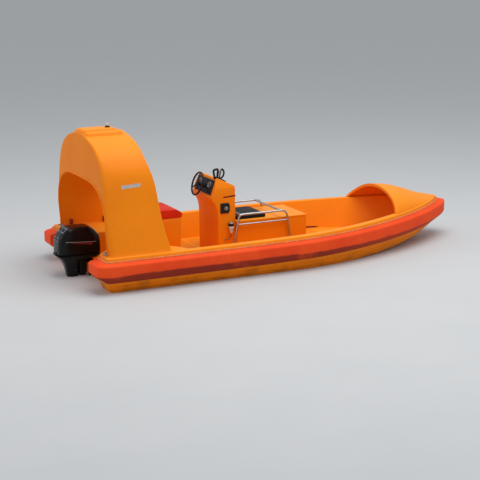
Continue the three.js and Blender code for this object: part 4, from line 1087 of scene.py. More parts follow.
# %% [markdown]
# ## The all-round light
# A black base with a clear lens. The lens of a real lantern is ribbed to throw its light level,
# so its turned profile is a dome with a ripple of three millimetres.

# %% The all-round light
LIGHT_X, LIGHT_BASE_Z, LENS_FOOT = -2410, 2048.2, 20
LENS_RADIUS, LENS_RISE, LENS_MIDDLE, RIB_MM, RIB_DEPTH = 29, 25, 18, 3, 0.8
BASE_PROFILE = [(0, 0), (36, 0), (37, 3), (36, 8), (29, 12), (27, LENS_FOOT), (0, LENS_FOOT)]
BULB_PROFILE = [(0, 0), (9, 0), (9, 20), (5, 26), (0, 27)]


def lens_profile():
    """A globe of radius 29, flattened to 25 upwards, with ribs of 0.8 cos(2 pi h / 3)."""
    turn = np.linspace(-0.66, np.pi / 2, 60)
    radius = LENS_RADIUS * np.cos(turn)
    height = LENS_MIDDLE + np.where(turn > 0, LENS_RISE, LENS_RADIUS) * np.sin(turn)
    ribs = RIB_DEPTH * np.cos(2 * np.pi * height / RIB_MM) * (height < 34)
    profile = np.concatenate([[(0, height[0])], np.column_stack([radius + ribs, height])])
    profile[-1, 0] = 0
    return profile


light_base = turned(BASE_PROFILE, (LIGHT_X, 0, LIGHT_BASE_Z))
add_piece("light_base", light_base, black_rubber, "black_plastic", stands_for="all_round_light_base")
lens = turned(lens_profile(), (LIGHT_X, 0, LIGHT_BASE_Z + LENS_FOOT))
add_piece("light_lens", lens, lens_plastic, "clear_lens", stands_for="all_round_light_lens", sharp=60)
bulb = turned(BULB_PROFILE, (LIGHT_X, 0, LIGHT_BASE_Z + LENS_FOOT + 1))
add_piece("light_bulb", bulb, white_plastic, "clear_lens")
print("lens points:", len(lens[0]))

# %% [markdown]
# ## Tape and pockets on the arch
# A band of reflective tape is stuck to each side of the arch. It has to lie on the curved side, so
# its points take their half width from the arch's own outline and stand one millimetre off it.
# Two small pockets of dark rubber are set in each leg near the deck.

# %% Tape and pockets on the arch
TAPE_ENDS = [(-2578, 1358), (-2443, 1365), (-2308, 1372)]  # x and lower edge
TAPE_WIDTH, TAPE_OUT, TAPE_DEEP = 46, 1.2, 5.2
POCKET_X, POCKET_HALF = (-2660, -2150), 22


def tape_shell():
    """Each loop goes up the arch's side, just off it, and down again inside the moulding."""
    loops = []
    for x, low in TAPE_ENDS:
        z = low + np.linspace(0, TAPE_WIDTH, 6)
        outer = np.column_stack([np.full(6, x), arch_half_width(z) + TAPE_OUT, z])
        loops.append(np.concatenate([outer, (outer - [0, TAPE_DEEP, 0])[::-1]]))
    return skin(loops)


add_piece("arch_reflective_tape", both_sides(tape_shell()), silver_tape, "gelcoat_orange")
pockets = [
    block((x - POCKET_HALF, 1000, 495), (x + POCKET_HALF, 1034, 575), 12, "y", 6) for x in POCKET_X
]
add_piece("arch_rubber_pockets", both_sides(together(*pockets)), pocket_rubber, "black_plastic")
print("tape", TAPE_WIDTH, "mm wide, pockets:", 2 * len(pockets))

# %% [markdown]
# ## The bow hood
# The hood is a shell over the bow, open at its aft side. Across the boat its section is the arc
# z = h (1 - p^2)^0.82, where p goes from one foot to the other, and its height h follows a given
# crest line. It is built as one sheet of points. Solidify then gives the moulding its thickness,
# and a bevel rolls the edge of its mouth. A flat lip stiffens the mouth from inside, a band of even
# width that follows the arc.

# %% The bow hood
HOOD_FOOT_INSET, HOOD_SHELL, HOOD_POWER = 128, 22, 0.82
HOOD_CREST = [
    (1800, 872), (1920, 866), (2000, 862), (2140, 848), (2400, 768), (2640, 678), (2850, 638),
    (2925, 611), (3000, 596),
]
HOOD_SWEEP, HOOD_SWEEP_LENGTH, HOOD_MOUTH_TURN = 100, 700, np.radians(48)
HOOD_ROWS, HOOD_COLUMNS, SKIRT = 60, 57, 9
LIP_NEAR, LIP_WIDTH, LIP_THICK, LIP_AFT = 3, 42, 16, 8


def hood_sheet():
    """The mouth's crown stands forward of its feet, by s (1 - p^4), which dies out forward."""
    turn = np.linspace(HOOD_MOUTH_TURN, 0, HOOD_ROWS)[:, None]
    x = (BOW_LENGTH - nose_inset_of(HOOD_FOOT_INSET)) * np.cos(turn) ** NOSE_POWER
    half = (HALF_BEAM - HOOD_FOOT_INSET) * np.sin(turn) ** SIDE_POWER
    foot = sheer(BOW_LENGTH * np.cos(turn) ** NOSE_POWER) + 85
    crest = bent(HOOD_CREST, WHOLE_EDGE, 6)
    across = np.cos(np.linspace(0, np.pi, HOOD_COLUMNS))[None]
    x = x + HOOD_SWEEP * np.clip(1 - (x - x[0]) / HOOD_SWEEP_LENGTH, 0, 1) * (1 - across**4)
    height = np.maximum(np.interp(x, crest[:, 0], crest[:, 1]) - foot, 2)
    rise = np.maximum(1 - across**2, 0) ** HOOD_POWER
    points = np.stack([x, half * across, foot + height * rise], axis=-1)
    skirt = points[:, [0, -1]] - [0, 0, SKIRT]
    return np.concatenate([skirt[:, :1], points, skirt[:, 1:]], axis=1)


def hood_lip(mouth):
    """A band inside the mouth: each point of the arc moves at right angles to it, in its plane."""
    rim = mouth - [LIP_AFT, 0, 0]
    along = unit(np.gradient(rim[:, 1:], axis=0))
    inward = np.column_stack([np.zeros(len(rim)), -along[:, 1], along[:, 0]])
    inward *= np.sign(-inward[len(rim) // 2, 2])
    outer, inner = rim + inward * LIP_NEAR, rim + inward * LIP_WIDTH
    return skin(np.stack([outer, inner, inner + [LIP_THICK, 0, 0], outer + [LIP_THICK, 0, 0]], 1))


hood_points = hood_sheet()
rows, columns = hood_points.shape[:2]
hood_faces = grid_faces(rows, columns).reshape(rows - 1, columns, 4)[:, :-1]  # the sheet stays open
hood_faces = hood_faces.reshape(-1, 4).tolist()
hood = add_moulding("bow_hood_moulding", (hood_points.reshape(-1, 3), hood_faces), "bow_hood")
thick = hood.modifiers.new("moulding thickness", "SOLIDIFY")
thick.thickness = HOOD_SHELL * MM
thick.offset = -1
rolled = hood.modifiers.new("rolled edge", "BEVEL")
rolled.width = 9 * MM
rolled.segments = 4
rolled.limit_method = "ANGLE"
rolled.angle_limit = np.radians(50)
add_moulding("bow_hood_lip", hood_lip(hood_points[0, 1:-1]), "bow_hood", edge=5)
print("hood sheet:", rows, "x", columns, "points")

# %% [markdown]
# ## The console
# The console is a box moulding that carries the helm. Its side is a template of straight lines
# with rounded corners, pushed across the boat, and both rims are rounded. Its two upper edges are
# then cut to a slope, and a groove on each side takes the rubber seal of the instruments' lid. The
# seal fills the groove almost to its face, and its dark red also paints in the groove's shade.

# %% The console
CONSOLE_HALF, CONSOLE_FRONT = 350, -636
CONSOLE_SIDE = [
    (CONSOLE_BACK, 104, 0), (CONSOLE_BACK, 640, 200), (-915, 777, 90), (-945, 870, 60),
    (-1005, 950, 26), (-1000, 985, 24), (-909, 1249, 24), (-880, 1245, 16), (-648, 1131, 30),
    (CONSOLE_FRONT, 1100, 30), (CONSOLE_FRONT, 104, 0),
]  # x, z, corner cut
GROOVE = [(-822, 962), (-630, 974), (-630, 998), (-822, 984)]  # x, z
GROOVE_DEEP, SEAL_OUT = 9, 0.5
CHAMFER = np.array([(-351, 1100), (-351, 1300), (-268, 1300)])  # y, z of what is cut off


def across_groove(outline, way, inner, outer, radius=0):
    """A slab in the console's side, from so far inside its face to so far outside."""
    low, high = sorted((way * (CONSOLE_HALF - inner), way * (CONSOLE_HALF + outer)))
    if radius:
        return soft_slab(outline, "y", low, high, radius)
    return slab(outline, "y", low, high)


console_shell = soft_slab(rounded_table(CONSOLE_SIDE), "y", -CONSOLE_HALF, CONSOLE_HALF, 8)
groove_outline = rounded(GROOVE, 5)
groove_cutters = [across_groove(groove_outline, way, GROOVE_DEEP, GROOVE_DEEP) for way in (-1, 1)]
chamfer_cutters = [slab(CHAMFER * [way, 1], "x", -1015, -600) for way in (-1, 1)]
console_mesh = carved("console_moulding", console_shell, *groove_cutters, *chamfer_cutters)
add_moulding("console_moulding", console_mesh, "console")
# The dark red seal fills each groove to half a millimetre proud: a seal, whose dark colour is also painted
# shade for the groove.
seal_outline = shrunk(groove_outline, 1)
seals_as_groove_shade = [across_groove(seal_outline, way, GROOVE_DEEP - SEAL_OUT, SEAL_OUT, 3) for way in (-1, 1)]
add_piece("console_lid_seal_and_groove_shade", together(*seals_as_groove_shade), red_rubber, "black_plastic")
print("console faces:", len(console_mesh.polygons))

# %% [markdown]
# ## The instruments
# The helm faces aft and leans forward. Two gauges and a row of switches stand on a black panel.
# Each is a turned or boxed shape whose axis is the panel's own direction. The dial's scale is only
# plain ticks, set round an arc of 240 degrees.

# %% The instruments
DASH_OUT = np.array([-0.9455, 0, 0.3257])
DASH_UP = np.array([0.3257, 0, 0.9455])
DASH_CENTRE = np.array([-957, 0, 1110])
ACROSS = np.array([0, 1, 0])
GAUGE_RADIUS, DIAL_RADIUS = 46, 36
GAUGES = [(-170, 30), (170, 30)]  # across and up the panel
SWITCHES, SWITCH_UP = (-210, -165, 165, 210), -72
BEZEL_PROFILE = [
    (0, 0), (GAUGE_RADIUS, 0), (GAUGE_RADIUS, 5), (GAUGE_RADIUS - 3, 8), (GAUGE_RADIUS - 6, 8),
    (GAUGE_RADIUS - 8, 4), (0, 4),
]
DIAL_PROFILE = [(0, 0), (DIAL_RADIUS, 0), (DIAL_RADIUS, 1.2), (0, 1.2)]


def on_dash(y, up, out):
    """A place by its distances across, up and out of the panel."""
    return DASH_CENTRE + DASH_OUT * out + DASH_UP * up + ACROSS * y


def laid_on_dash(shape, y, up, out):
    """A shape made flat is laid on the panel: u goes across, v up and w out."""
    points, faces = shape
    return outward(on_dash(y, up, out) + points @ np.array([ACROSS, DASH_UP, DASH_OUT]), faces)


def dash_block(y, up, out, half_y, half_up, thick, radius):
    """A block with rounded edges on the panel."""
    cut = max(radius * 1.6, 3)
    shape = block((-half_y, -half_up, 0), (half_y, half_up, thick), cut, "z", radius)
    return laid_on_dash(shape, y, up, out)


def dial_ticks(y, up, out):
    """13 short blocks, each third one longer, turned about the dial's centre in equal steps."""
    shells = []
    for k, angle in enumerate(np.radians(np.linspace(-120, 120, 13))):
        long = 9 if k % 3 == 0 else 5
        points, faces = block((-0.9, -long / 2, 0), (0.9, long / 2, 0.6))
        c, s = np.cos(angle), np.sin(angle)
        outer = points + [0, GAUGE_RADIUS - 13 - long / 2, 0]
        spun = outer @ np.array([[c, -s, 0], [s, c, 0], [0, 0, 1]])
        shells.append(laid_on_dash((spun, faces), y, up, out))
    return together(*shells)


panel = dash_block(0, 0, 0.4, 290, 108, 9, 4)
add_piece("instrument_panel", panel, black_plastic, "black_plastic", stands_for="dash_panel")
bezels = [turned(BEZEL_PROFILE, on_dash(y, up, 9), DASH_OUT, 40) for y, up in GAUGES]
add_piece("gauge_bezels", together(*bezels), stainless, "stainless")
dials = [turned(DIAL_PROFILE, on_dash(y, up, 12.6), DASH_OUT, 40) for y, up in GAUGES]
add_piece("gauge_dials", together(*dials), black_plastic, "black_plastic")
ticks = [dial_ticks(y, up, 13.6) for y, up in GAUGES]
needles = [dash_block(y + 6, up + 8, 14, 1.4, 16, 1.5, 0.4) for y, up in GAUGES]
add_piece("gauge_ticks_and_needles", together(*ticks, *needles), white_plastic, "black_plastic")
switches = [dash_block(y, SWITCH_UP, 8.6, 14, 20, 6, 3) for y in SWITCHES]
add_piece("panel_switches", together(*switches), black_rubber, "black_plastic")
print("gauges and switches:", len(GAUGES), len(switches))

# %% [markdown]
# ## The steering wheel
# The rim is a torus, a circle carried round a circle, and finger grips make its radius ripple a
# little. Three flat spokes taper from the hub to the rim. It turns with the motor.

# %% The steering wheel
WHEEL_UP, WHEEL_OUT, WHEEL_RADIUS, RIM_RADIUS, GRIPS, GRIP_DEPTH = -10, 120, 165, 13.4, 24, 0.7
WHEEL_CENTRE = on_dash(0, WHEEL_UP, WHEEL_OUT)
SPOKE_ROWS = [(24, 17, 6), (70, 13, 5), (120, 10, 4.5), (WHEEL_RADIUS, 12, 4.5)]  # far, wide, deep
HUB_PROFILE = [(0, -20), (38, -20), (42, -14), (42, 4), (34, 12), (26, 16), (25, 21), (0, 23)]
BOOT_PROFILE = [(0, 0), (34, 0), (34, 8), (27, 16), (25, 60), (24, 89), (0, 89)]


def wheel_rim():
    """Centre circle of radius R; the tube's radius is r - 0.7 cos(24 a)."""
    a = np.linspace(0, 2 * np.pi, 144, endpoint=False)[:, None]
    centre = WHEEL_CENTRE + WHEEL_RADIUS * (np.cos(a) * ACROSS + np.sin(a) * DASH_UP)
    return tube(centre, RIM_RADIUS - GRIP_DEPTH * np.cos(GRIPS * a[:, 0]), 14, around=True)


def spoke(degrees):
    """A rounded section carried out from the hub, wider or narrower as its table says."""
    a = np.radians(degrees)
    way = np.cos(a) * ACROSS + np.sin(a) * DASH_UP
    beside = -np.sin(a) * ACROSS + np.cos(a) * DASH_UP
    u, v = rounded(rectangle(-1, -1, 1, 1), 0.6, 4).T
    return skin([
        WHEEL_CENTRE + way * far + np.outer(u, beside * wide) + np.outer(v, DASH_OUT * deep)
        for far, wide, deep in SPOKE_ROWS
    ])


hub = turned(HUB_PROFILE, WHEEL_CENTRE, DASH_OUT, 40)
wheel = together(wheel_rim(), hub, *[spoke(degrees) for degrees in (90, 210, 330)])
add_piece("wheel_rim_and_spokes", wheel, black_plastic, "black_plastic", "steering_wheel",
          stands_for="steering_wheel")
boot = turned(BOOT_PROFILE, on_dash(0, WHEEL_UP, 9.6), DASH_OUT, 32)
add_piece("steering_column_boot", boot, black_rubber, "black_plastic", stands_for="steering_column")
print("wheel points:", len(wheel[0]))

# %% [markdown]
# ## The throttle control
# A throttle box stands on the corner of the console. A thick frame goes over it and a thinner loop
# handle stands forward of it, to hold on to, with a bright lever between them and a cover for the
# cables that runs down to the console. All but the box are tubes along short rounded paths.

# %% The throttle control
THROTTLE_Y, FRAME_RADIUS, LOOP_RADIUS = -262, 15.5, 13
THROTTLE_SIDE = [(-916, 1216), (-832, 1216), (-838, 1250), (-858, 1266), (-908, 1266)]  # x, z
FRAME_PATH = [(-914, 1236), (-936, 1364), (-862, 1378), (-876, 1248)]
LOOP_PATH = [(-850, 1240), (-822, 1352), (-796, 1376), (-764, 1322), (-790, 1252), (-838, 1238)]
LEVER_PATH = [(-868, -288, 1262), (-856, -290, 1330), (-832, -290, 1372)]  # x, y, z


def throttle_bar(corners, cuts, radius):
    """A bar over the throttle box, along corners (x, z) in one upright plane."""
    return tube(bent([(x, THROTTLE_Y, z) for x, z in corners], cuts, 6), radius, 14)


throttle_box = soft_slab(rounded(THROTTLE_SIDE, 10, 4), "y", -290, -228, 8)
frame_bar = throttle_bar(FRAME_PATH, [24, 28], FRAME_RADIUS)
loop_bar = throttle_bar(LOOP_PATH, [26, 24, 34, 26], LOOP_RADIUS)
cable_cover = tube([(-842, THROTTLE_Y, 1240), (-745, THROTTLE_Y, 1184)], 8, 12)
throttle = together(throttle_box, frame_bar, loop_bar, cable_cover)
add_piece("throttle_box_and_lever", throttle, black_plastic, "black_plastic",
          stands_for="throttle_control")
lever_path = bent(LEVER_PATH, 30, 6)
lever = tube(lever_path, np.linspace(8.5, 10, len(lever_path)), 14)
add_piece("throttle_lever", lever, stainless, "stainless")
print("throttle points:", len(throttle[0]))

# %% [markdown]
# ## Battery switch, fuel filter and hose
# On the starboard side of the console are a battery switch, a plate with two corners cut and a
# round knob, and a fuel filter: a cast head, a black band and a clear bowl that has gone milky.
# The hose under it is a tube along a bent path that runs back to a clip on the console.

# %% Battery switch, fuel filter and hose
SIDE_Y = -CONSOLE_HALF
STARBOARD = (0, -1, 0)
FILTER_X, FILTER_Y, HOSE_RADIUS = -724, SIDE_Y - 42, 6
PLATE = [(-871, 742), (-744, 742), (-727, 780), (-727, 852), (-744, 890), (-871, 890)]  # x, z
KNOB_PROFILE = [(0, 0), (29, 0), (29, 5), (25, 8), (23, 18), (19, 21), (0, 21)]
HEAD_PROFILE = [(0, 594), (37, 594), (38, 598), (36, 606), (28, 612), (12, 616), (0, 616)]
BAND_PROFILE = [(0, 554), (36, 554), (39, 558), (39, 590), (36, 594), (0, 594)]
BOWL_PROFILE = [
    (0, 442), (8, 442), (10, 450), (17, 458), (21, 470), (23, 524), (38, 528), (38, 554), (0, 554),
]
HOSE_CORNERS = [
    (FILTER_X, FILTER_Y, 444), (FILTER_X, FILTER_Y, 408), (FILTER_X - 24, FILTER_Y + 12, 370),
    (FILTER_X - 62, SIDE_Y - 12, 354), (FILTER_X - 92, SIDE_Y - 7, 359),
]

plate = soft_slab(rounded(PLATE, 8, 3), "y", SIDE_Y - 14, SIDE_Y + 2, 4)
add_piece("switch_plate", plate, black_plastic, "black_plastic", stands_for="battery_switch")
knob = turned(KNOB_PROFILE, (-786, SIDE_Y - 13, 812), STARBOARD, 36)
grip = block((-792, SIDE_Y - 38, 791), (-780, SIDE_Y - 30, 833), 5, "y", 2)
add_piece("switch_knob", together(knob, grip), knob_grey, "black_plastic")

head, band, bowl = (turned(profile, (FILTER_X, FILTER_Y, 0), UP, 36)
                    for profile in (HEAD_PROFILE, BAND_PROFILE, BOWL_PROFILE))
arm = block((FILTER_X - 28, SIDE_Y - 32, 572), (FILTER_X + 28, SIDE_Y + 1, 600), 6, "y", 0)
add_piece("filter_head", together(head, arm), cast_alloy, "filter_metal", stands_for="fuel_filter")
add_piece("filter_band", band, black_rubber, "black_plastic")
add_piece("filter_bowl", bowl, white_plastic, "filter_metal")
hose_path = bent(HOSE_CORNERS, WHOLE_EDGE, 10)
hose_length = np.linalg.norm(np.diff(hose_path, axis=0), axis=1).sum()
add_piece("fuel_line", tube(hose_path, HOSE_RADIUS, 12), hose_rubber, "black_plastic",
          stands_for="fuel_hose")
clip = block((FILTER_X - 92, SIDE_Y - 15, 349), (FILTER_X - 80, SIDE_Y + 1, 367), 4, "y", 2)
add_piece("fuel_line_clip", clip, stainless, "stainless")
print("filter and hose made; hose length", round(float(hose_length)), "mm")

# %% [markdown]
# ## The seat box
# The seat box is a plain moulding with rounded corners. A flange round its top holds the pad, and
# being rounded it catches more light than the sides.

# %% The seat box
BOX_AFT, BOX_HALF, BOX_TOP = -635.6, 390, 615
FLANGE_OUT, FLANGE_DEPTH = 4, 26


def box_outline(out, cut):
    """The box seen from above, wider by out on three sides; its aft end stays on the console."""
    half = BOX_HALF + out
    return rounded(rectangle(BOX_AFT + 0.4, -half, BOX_FRONT + out, half), [14, cut, cut, 14], 7)


box_shell = slab(box_outline(0, 26), "z", FLOOR_TOP, BOX_TOP - 8)
flange_shell = soft_slab(box_outline(FLANGE_OUT, 30), "z", BOX_TOP - FLANGE_DEPTH, BOX_TOP, 9)
add_moulding("seat_box_moulding", box_shell, "seat_box")
add_moulding("seat_box_flange", flange_shell, "seat_box")
print("seat box:", BOX_FRONT - BOX_AFT, "mm long")

# %% [markdown]
# ## Padded pieces
# A cushion is a fabric bag full of foam. Its faces crown and its sides pull in, while the seams
# stay where they are sewn, and cloth simulation gives that shape. The plain block is remeshed into
# small even faces, those near the seams and underneath are pinned, and a slight pressure blows up
# the rest for twenty frames. No point may move further than a cap.

# %% Padded pieces
VOXEL_MM, PRESSURE, FRAMES = 8, 4, 20
SEWN_MM = 14  # points that near a seam are held, more the nearer they are
PIPING_RADIUS = 3.6


def coordinates(mesh):
    """All points of a mesh as one array, in metres."""
    flat = np.empty(len(mesh.vertices) * 3, np.float32)
    mesh.vertices.foreach_get("co", flat)
    return flat.reshape(-1, 3).astype(float)


def seam_distance(points, path):
    """Distance of every point from the nearest point of a path, both in millimetres."""
    best = np.full(len(points), np.inf)
    for start in range(0, len(path), 40):
        gap = points[:, None] - path[None, start:start + 40]
        best = np.minimum(best, np.linalg.norm(gap, axis=2).min(axis=1))
    return best


def evaluated_copy(piece):
    """The mesh as its modifiers leave it now."""
    graph = bpy.context.evaluated_depsgraph_get()
    return bpy.data.meshes.new_from_object(piece.evaluated_get(graph))


def simulated(piece, rest):
    """How far each point moves when a slight pressure fills the bag, with gravity off."""
    cloth = piece.modifiers.new("cloth", "CLOTH")
    cloth.settings.vertex_group_mass = "sewn"
    cloth.settings.use_pressure = True
    cloth.settings.uniform_pressure_force = PRESSURE
    cloth.settings.effector_weights.gravity = 0
    cloth.point_cache.frame_start, cloth.point_cache.frame_end = 1, FRAMES
    for frame_number in range(1, FRAMES + 1):
        bpy.context.scene.frame_set(frame_number)
    moved = coordinates(evaluated_copy(piece)) - rest
    piece.modifiers.clear()
    bpy.context.scene.frame_set(1)
    return moved


def swell(piece, seams, foot_z, cap_mm):
    """Remeshes, pins the seams and the underside, and simulates; moves are capped in length."""
    remesh = piece.modifiers.new("even faces", "REMESH")
    remesh.mode = "VOXEL"
    remesh.voxel_size = VOXEL_MM * MM
    piece.data = evaluated_copy(piece)
    piece.modifiers.clear()
    rest = coordinates(piece.data)
    sewn = np.clip(1.3 - seam_distance(rest / MM, seams) / SEWN_MM, 0, 1)
    held = np.round(np.maximum(sewn, rest[:, 2] / MM < foot_z + 3), 1)
    pins = piece.vertex_groups.new(name="sewn")
    for level in np.unique(held):
        pins.add(np.flatnonzero(held == level).tolist(), float(level), "REPLACE")
    moved = simulated(piece, rest)
    piece.vertex_groups.clear()
    length = np.linalg.norm(moved, axis=1, keepdims=True)
    moved *= np.minimum(1, cap_mm * MM / np.maximum(length, 1e-9))
    piece.data.vertices.foreach_set("co", (rest + moved).astype(np.float32).ravel())
    piece.data.update()
    return rest + moved


def piping(surface, path):
    """A cord laid on the surface points nearest to a seam, eased four times by (a + 2 b + c) / 4."""
    nearest = np.argmin(np.linalg.norm(surface[None] - path[:, None], axis=2), axis=1)
    laid = surface[nearest]
    for _ in range(4):
        laid = (np.roll(laid, 1, 0) + 2 * laid + np.roll(laid, -1, 0)) / 4
    return tube(laid, PIPING_RADIUS, 8, around=True)


def cushion(name, shell, seams, foot_z, cap_mm, material, slot, stands_for):
    """A padded piece, with a cord of piping laid on its own surface along each seam."""
    piece = add_piece(name, shell, material, slot, stands_for=stands_for, sharp=180)
    surface = swell(piece, np.concatenate(seams), foot_z, cap_mm) / MM
    piece.data.shade_smooth()
    piece.data.materials.clear()
    piece.data.materials.append(material)
    finer = piece.modifiers.new("finer", "SUBSURF")
    finer.levels = finer.render_levels = 1
    add_piece(f"{name}_piping", together(*[piping(surface, path) for path in seams]), material, slot)
    return piece


def seam_ring(outline, axis, level, count):
    """A seam: a closed outline at one level, in even steps, with its last point not repeated."""
    ring = lifted(outline, axis, level)
    return evenly(np.vstack([ring, ring[:1]]), count)[:-1]


print("cloth runs for", FRAMES, "frames on", VOXEL_MM, "mm faces")

# %% [markdown]
# ## The pad on the seat box
# A flat black pad with a seam round its top and another round its foot.

# %% The pad on the seat box
PAD_AFT, PAD_FRONT, PAD_HALF, PAD_TOP = -590, -120, 300, 664
pad_outline = rounded(rectangle(PAD_AFT, -PAD_HALF, PAD_FRONT, PAD_HALF), 38, 6)
pad_shell = soft_slab(pad_outline, "z", BOX_TOP + 0.5, PAD_TOP, 7)
pad_seams = [
    seam_ring(shrunk(pad_outline, 2), "z", PAD_TOP - 3, 140),
    seam_ring(shrunk(pad_outline, 1), "z", BOX_TOP + 6, 140),
]
pad = cushion("seat_pad", pad_shell, pad_seams, BOX_TOP, 12, black_vinyl, "pad_vinyl",
              "seat_box_pad")
print("pad faces:", len(pad.data.polygons))

# %% [markdown]
# ## The helm seat
# The helm seat is a moulded pedestal as wide as the seat, with a thick red cushion on it. The
# cushion's front slopes and its corners differ, so its side is a template with rounded corners.

# %% The helm seat
SEAT_AFT, SEAT_FRONT, SEAT_HALF, SEAT_TOP, CUSHION_TOP = -1820, -1450, 300, 735, 862
BASE_SIDE = [
    (SEAT_AFT + 5, FLOOR_TOP - 1, 0), (SEAT_FRONT - 20, FLOOR_TOP - 1, 0), (SEAT_FRONT, SEAT_TOP, 30),
    (SEAT_AFT + 5, SEAT_TOP, 30),
]
CUSHION_SIDE = [
    (SEAT_AFT + 4, SEAT_TOP + 1, 14), (SEAT_FRONT + 8, SEAT_TOP + 1, 14),
    (SEAT_FRONT + 14, SEAT_TOP + 60, 26), (SEAT_FRONT + 4, CUSHION_TOP - 56, 34),
    (SEAT_FRONT - 64, CUSHION_TOP - 8, 40), (SEAT_AFT + 40, CUSHION_TOP - 8, 40),
    (SEAT_AFT + 4, CUSHION_TOP - 44, 30),
]  # x, z, corner cut

base_shell = soft_slab(rounded_table(BASE_SIDE), "y", -SEAT_HALF, SEAT_HALF, 20)
add_moulding("helm_seat_moulding", base_shell, "helm_seat_base")
cushion_side = rounded_table(CUSHION_SIDE)
cushion_shell = soft_slab(cushion_side, "y", -SEAT_HALF, SEAT_HALF, 9)
seat_seams = [seam_ring(shrunk(cushion_side, 3), "y", way * (SEAT_HALF - 3), 120) for way in (-1, 1)]
seat = cushion("helm_cushion", cushion_shell, seat_seams, SEAT_TOP, 16, red_vinyl, "seat_vinyl",
               "helm_seat_cushion")
print("cushion faces:", len(seat.data.polygons))

# %% [markdown]
# ## Rails round the seat box
# The rails are 30 mm stainless tube, bent on a former and welded to round flanges that are bolted
# to the floor. A lower, thinner tube ties the legs together, and two bars cross the box. Each tube
# is a circle carried along straight stretches with rounded bends, with a weld bead at each joint.

# %% Rails round the seat box
RAIL_RADIUS, RAIL_Y, RAIL_TOP = 15, 430, 716
RAIL_LEGS = [(-728, -612, 60), (229, 146, 95)]  # x of the foot, x of the corner above, bend's cut
LOW_RADIUS, LOW_Z = 12, 572
CROSSBARS = {"rail_crossbar_aft": (-590, RAIL_TOP - 4), "rail_crossbar_forward": (50, RAIL_TOP)}
BAR_REACH, BAR_RADIUS = RAIL_Y - RAIL_RADIUS + 2, RAIL_RADIUS - 1
FLANGE_PROFILE = [(0, 0), (32, 0), (32, 4), (30, 6), (21, 6), (18, 9), (0, 9)]
FLANGE_BOLT, BOLT_CIRCLE = [(0, 0), (4.6, 0), (4.6, 2), (3, 4), (0, 4.6)], 25


def leg_x(leg, z):
    """A leg leans: its x goes evenly from the foot to the corner above."""
    foot_x, top_x, _ = leg
    return foot_x + (top_x - foot_x) * (z - FLOOR_TOP) / (RAIL_TOP - FLOOR_TOP)


def flange_with_bolts(x, y):
    """A turned flange with three domed bolts at equal angles round it."""
    a = np.radians([30, 150, 270])
    ring = [x + BOLT_CIRCLE * np.cos(a), y + BOLT_CIRCLE * np.sin(a), np.full(3, FLOOR_TOP + 5.6)]
    bolts = [turned(FLANGE_BOLT, place, UP, 12) for place in np.column_stack(ring)]
    return together(turned(FLANGE_PROFILE, (x, y, FLOOR_TOP)), *bolts)


def weld(centre, axis, radius):
    """A small fillet ring where one tube meets another."""
    return turned([(0, -4), (radius + 1, -4), (radius + 2.6, 0), (radius + 1, 4), (0, 4)], centre, axis, 20)


def rail_path(y):
    """Up one leg, forward along the top and down the other, in one upright plane."""
    (aft_foot, aft_top, aft_cut), (fore_foot, fore_top, fore_cut) = RAIL_LEGS
    return bent([(aft_foot, y, FLOOR_TOP + 4), (aft_top, y, RAIL_TOP), (fore_top, y, RAIL_TOP),
                 (fore_foot, y, FLOOR_TOP + 4)], [aft_cut, fore_cut], 10)


for side_name, way in SIDES:
    y = way * RAIL_Y
    feet = [flange_with_bolts(leg[0], y) for leg in RAIL_LEGS]
    add_piece(f"grab_rail_{side_name}_tube", together(tube(rail_path(y), RAIL_RADIUS, 20), *feet),
              stainless, "stainless", stands_for=f"grab_rail_{side_name}")
    ends = np.array([(leg_x(leg, LOW_Z), y, LOW_Z) for leg in RAIL_LEGS])
    inside = ends + [[RAIL_RADIUS - 2, 0, 0], [-RAIL_RADIUS + 2, 0, 0]]
    beads = [weld(end + [shift, 0, 0], (1, 0, 0), LOW_RADIUS) for end, shift in zip(inside, (3, -3))]
    add_piece(f"low_rail_{side_name}_tube", together(tube(inside, LOW_RADIUS, 16), *beads), stainless,
              "stainless", stands_for=f"low_rail_{side_name}")
for bar_name, (x, z) in CROSSBARS.items():
    bar = tube([(x, -BAR_REACH, z), (x, BAR_REACH, z)], BAR_RADIUS, 18)
    beads = [weld((x, way * (BAR_REACH - 2), z), ACROSS, BAR_RADIUS) for way in (-1, 1)]
    add_piece(f"{bar_name}_tube", together(bar, *beads), stainless, "stainless", stands_for=bar_name)
print("rails on", len(SIDES), "sides, and", len(CROSSBARS), "bars across")

# %% [markdown]
# ## Stern cleats
# A horn cleat is cast in one piece: two legs on a base and a bar whose horns thin out and lift a
# little. The bar is a tube whose radius depends on how far along it a point is.

# %% Stern cleats
CLEAT_X, CLEAT_Y, CLEAT_Z = -2820, 985, 482
HORN_REACH, HORN_LIFT, BAR_RISE = 55, 6, 36


def cleat(way):
    """The bar rises by 6 p^4 and its radius is 9.5 - 4 |p|^3, with p from -1 to 1 along it."""
    y = way * CLEAT_Y
    base = block((CLEAT_X - 42, y - 18, CLEAT_Z), (CLEAT_X + 42, y + 18, CLEAT_Z + 6), 14, "z", 2.5)
    legs = [tube([(x, y, CLEAT_Z + 4), (x, y, CLEAT_Z + 34)], [10, 8.5], 14)
            for x in (CLEAT_X - 15, CLEAT_X + 15)]
    part = np.linspace(-1, 1, 25)
    height = CLEAT_Z + BAR_RISE + HORN_LIFT * part**4
    bar_path = np.column_stack([CLEAT_X + HORN_REACH * part, np.full(25, y), height])
    return together(base, *legs, tube(bar_path, 9.5 - 4 * np.abs(part) ** 3, 14))


for side_name, way in SIDES:
    add_piece(f"horn_cleat_{side_name}", cleat(way), stainless, "stainless",
              stands_for=f"stern_cleat_{side_name}")
print("cleats", 2 * CLEAT_Y, "mm apart")

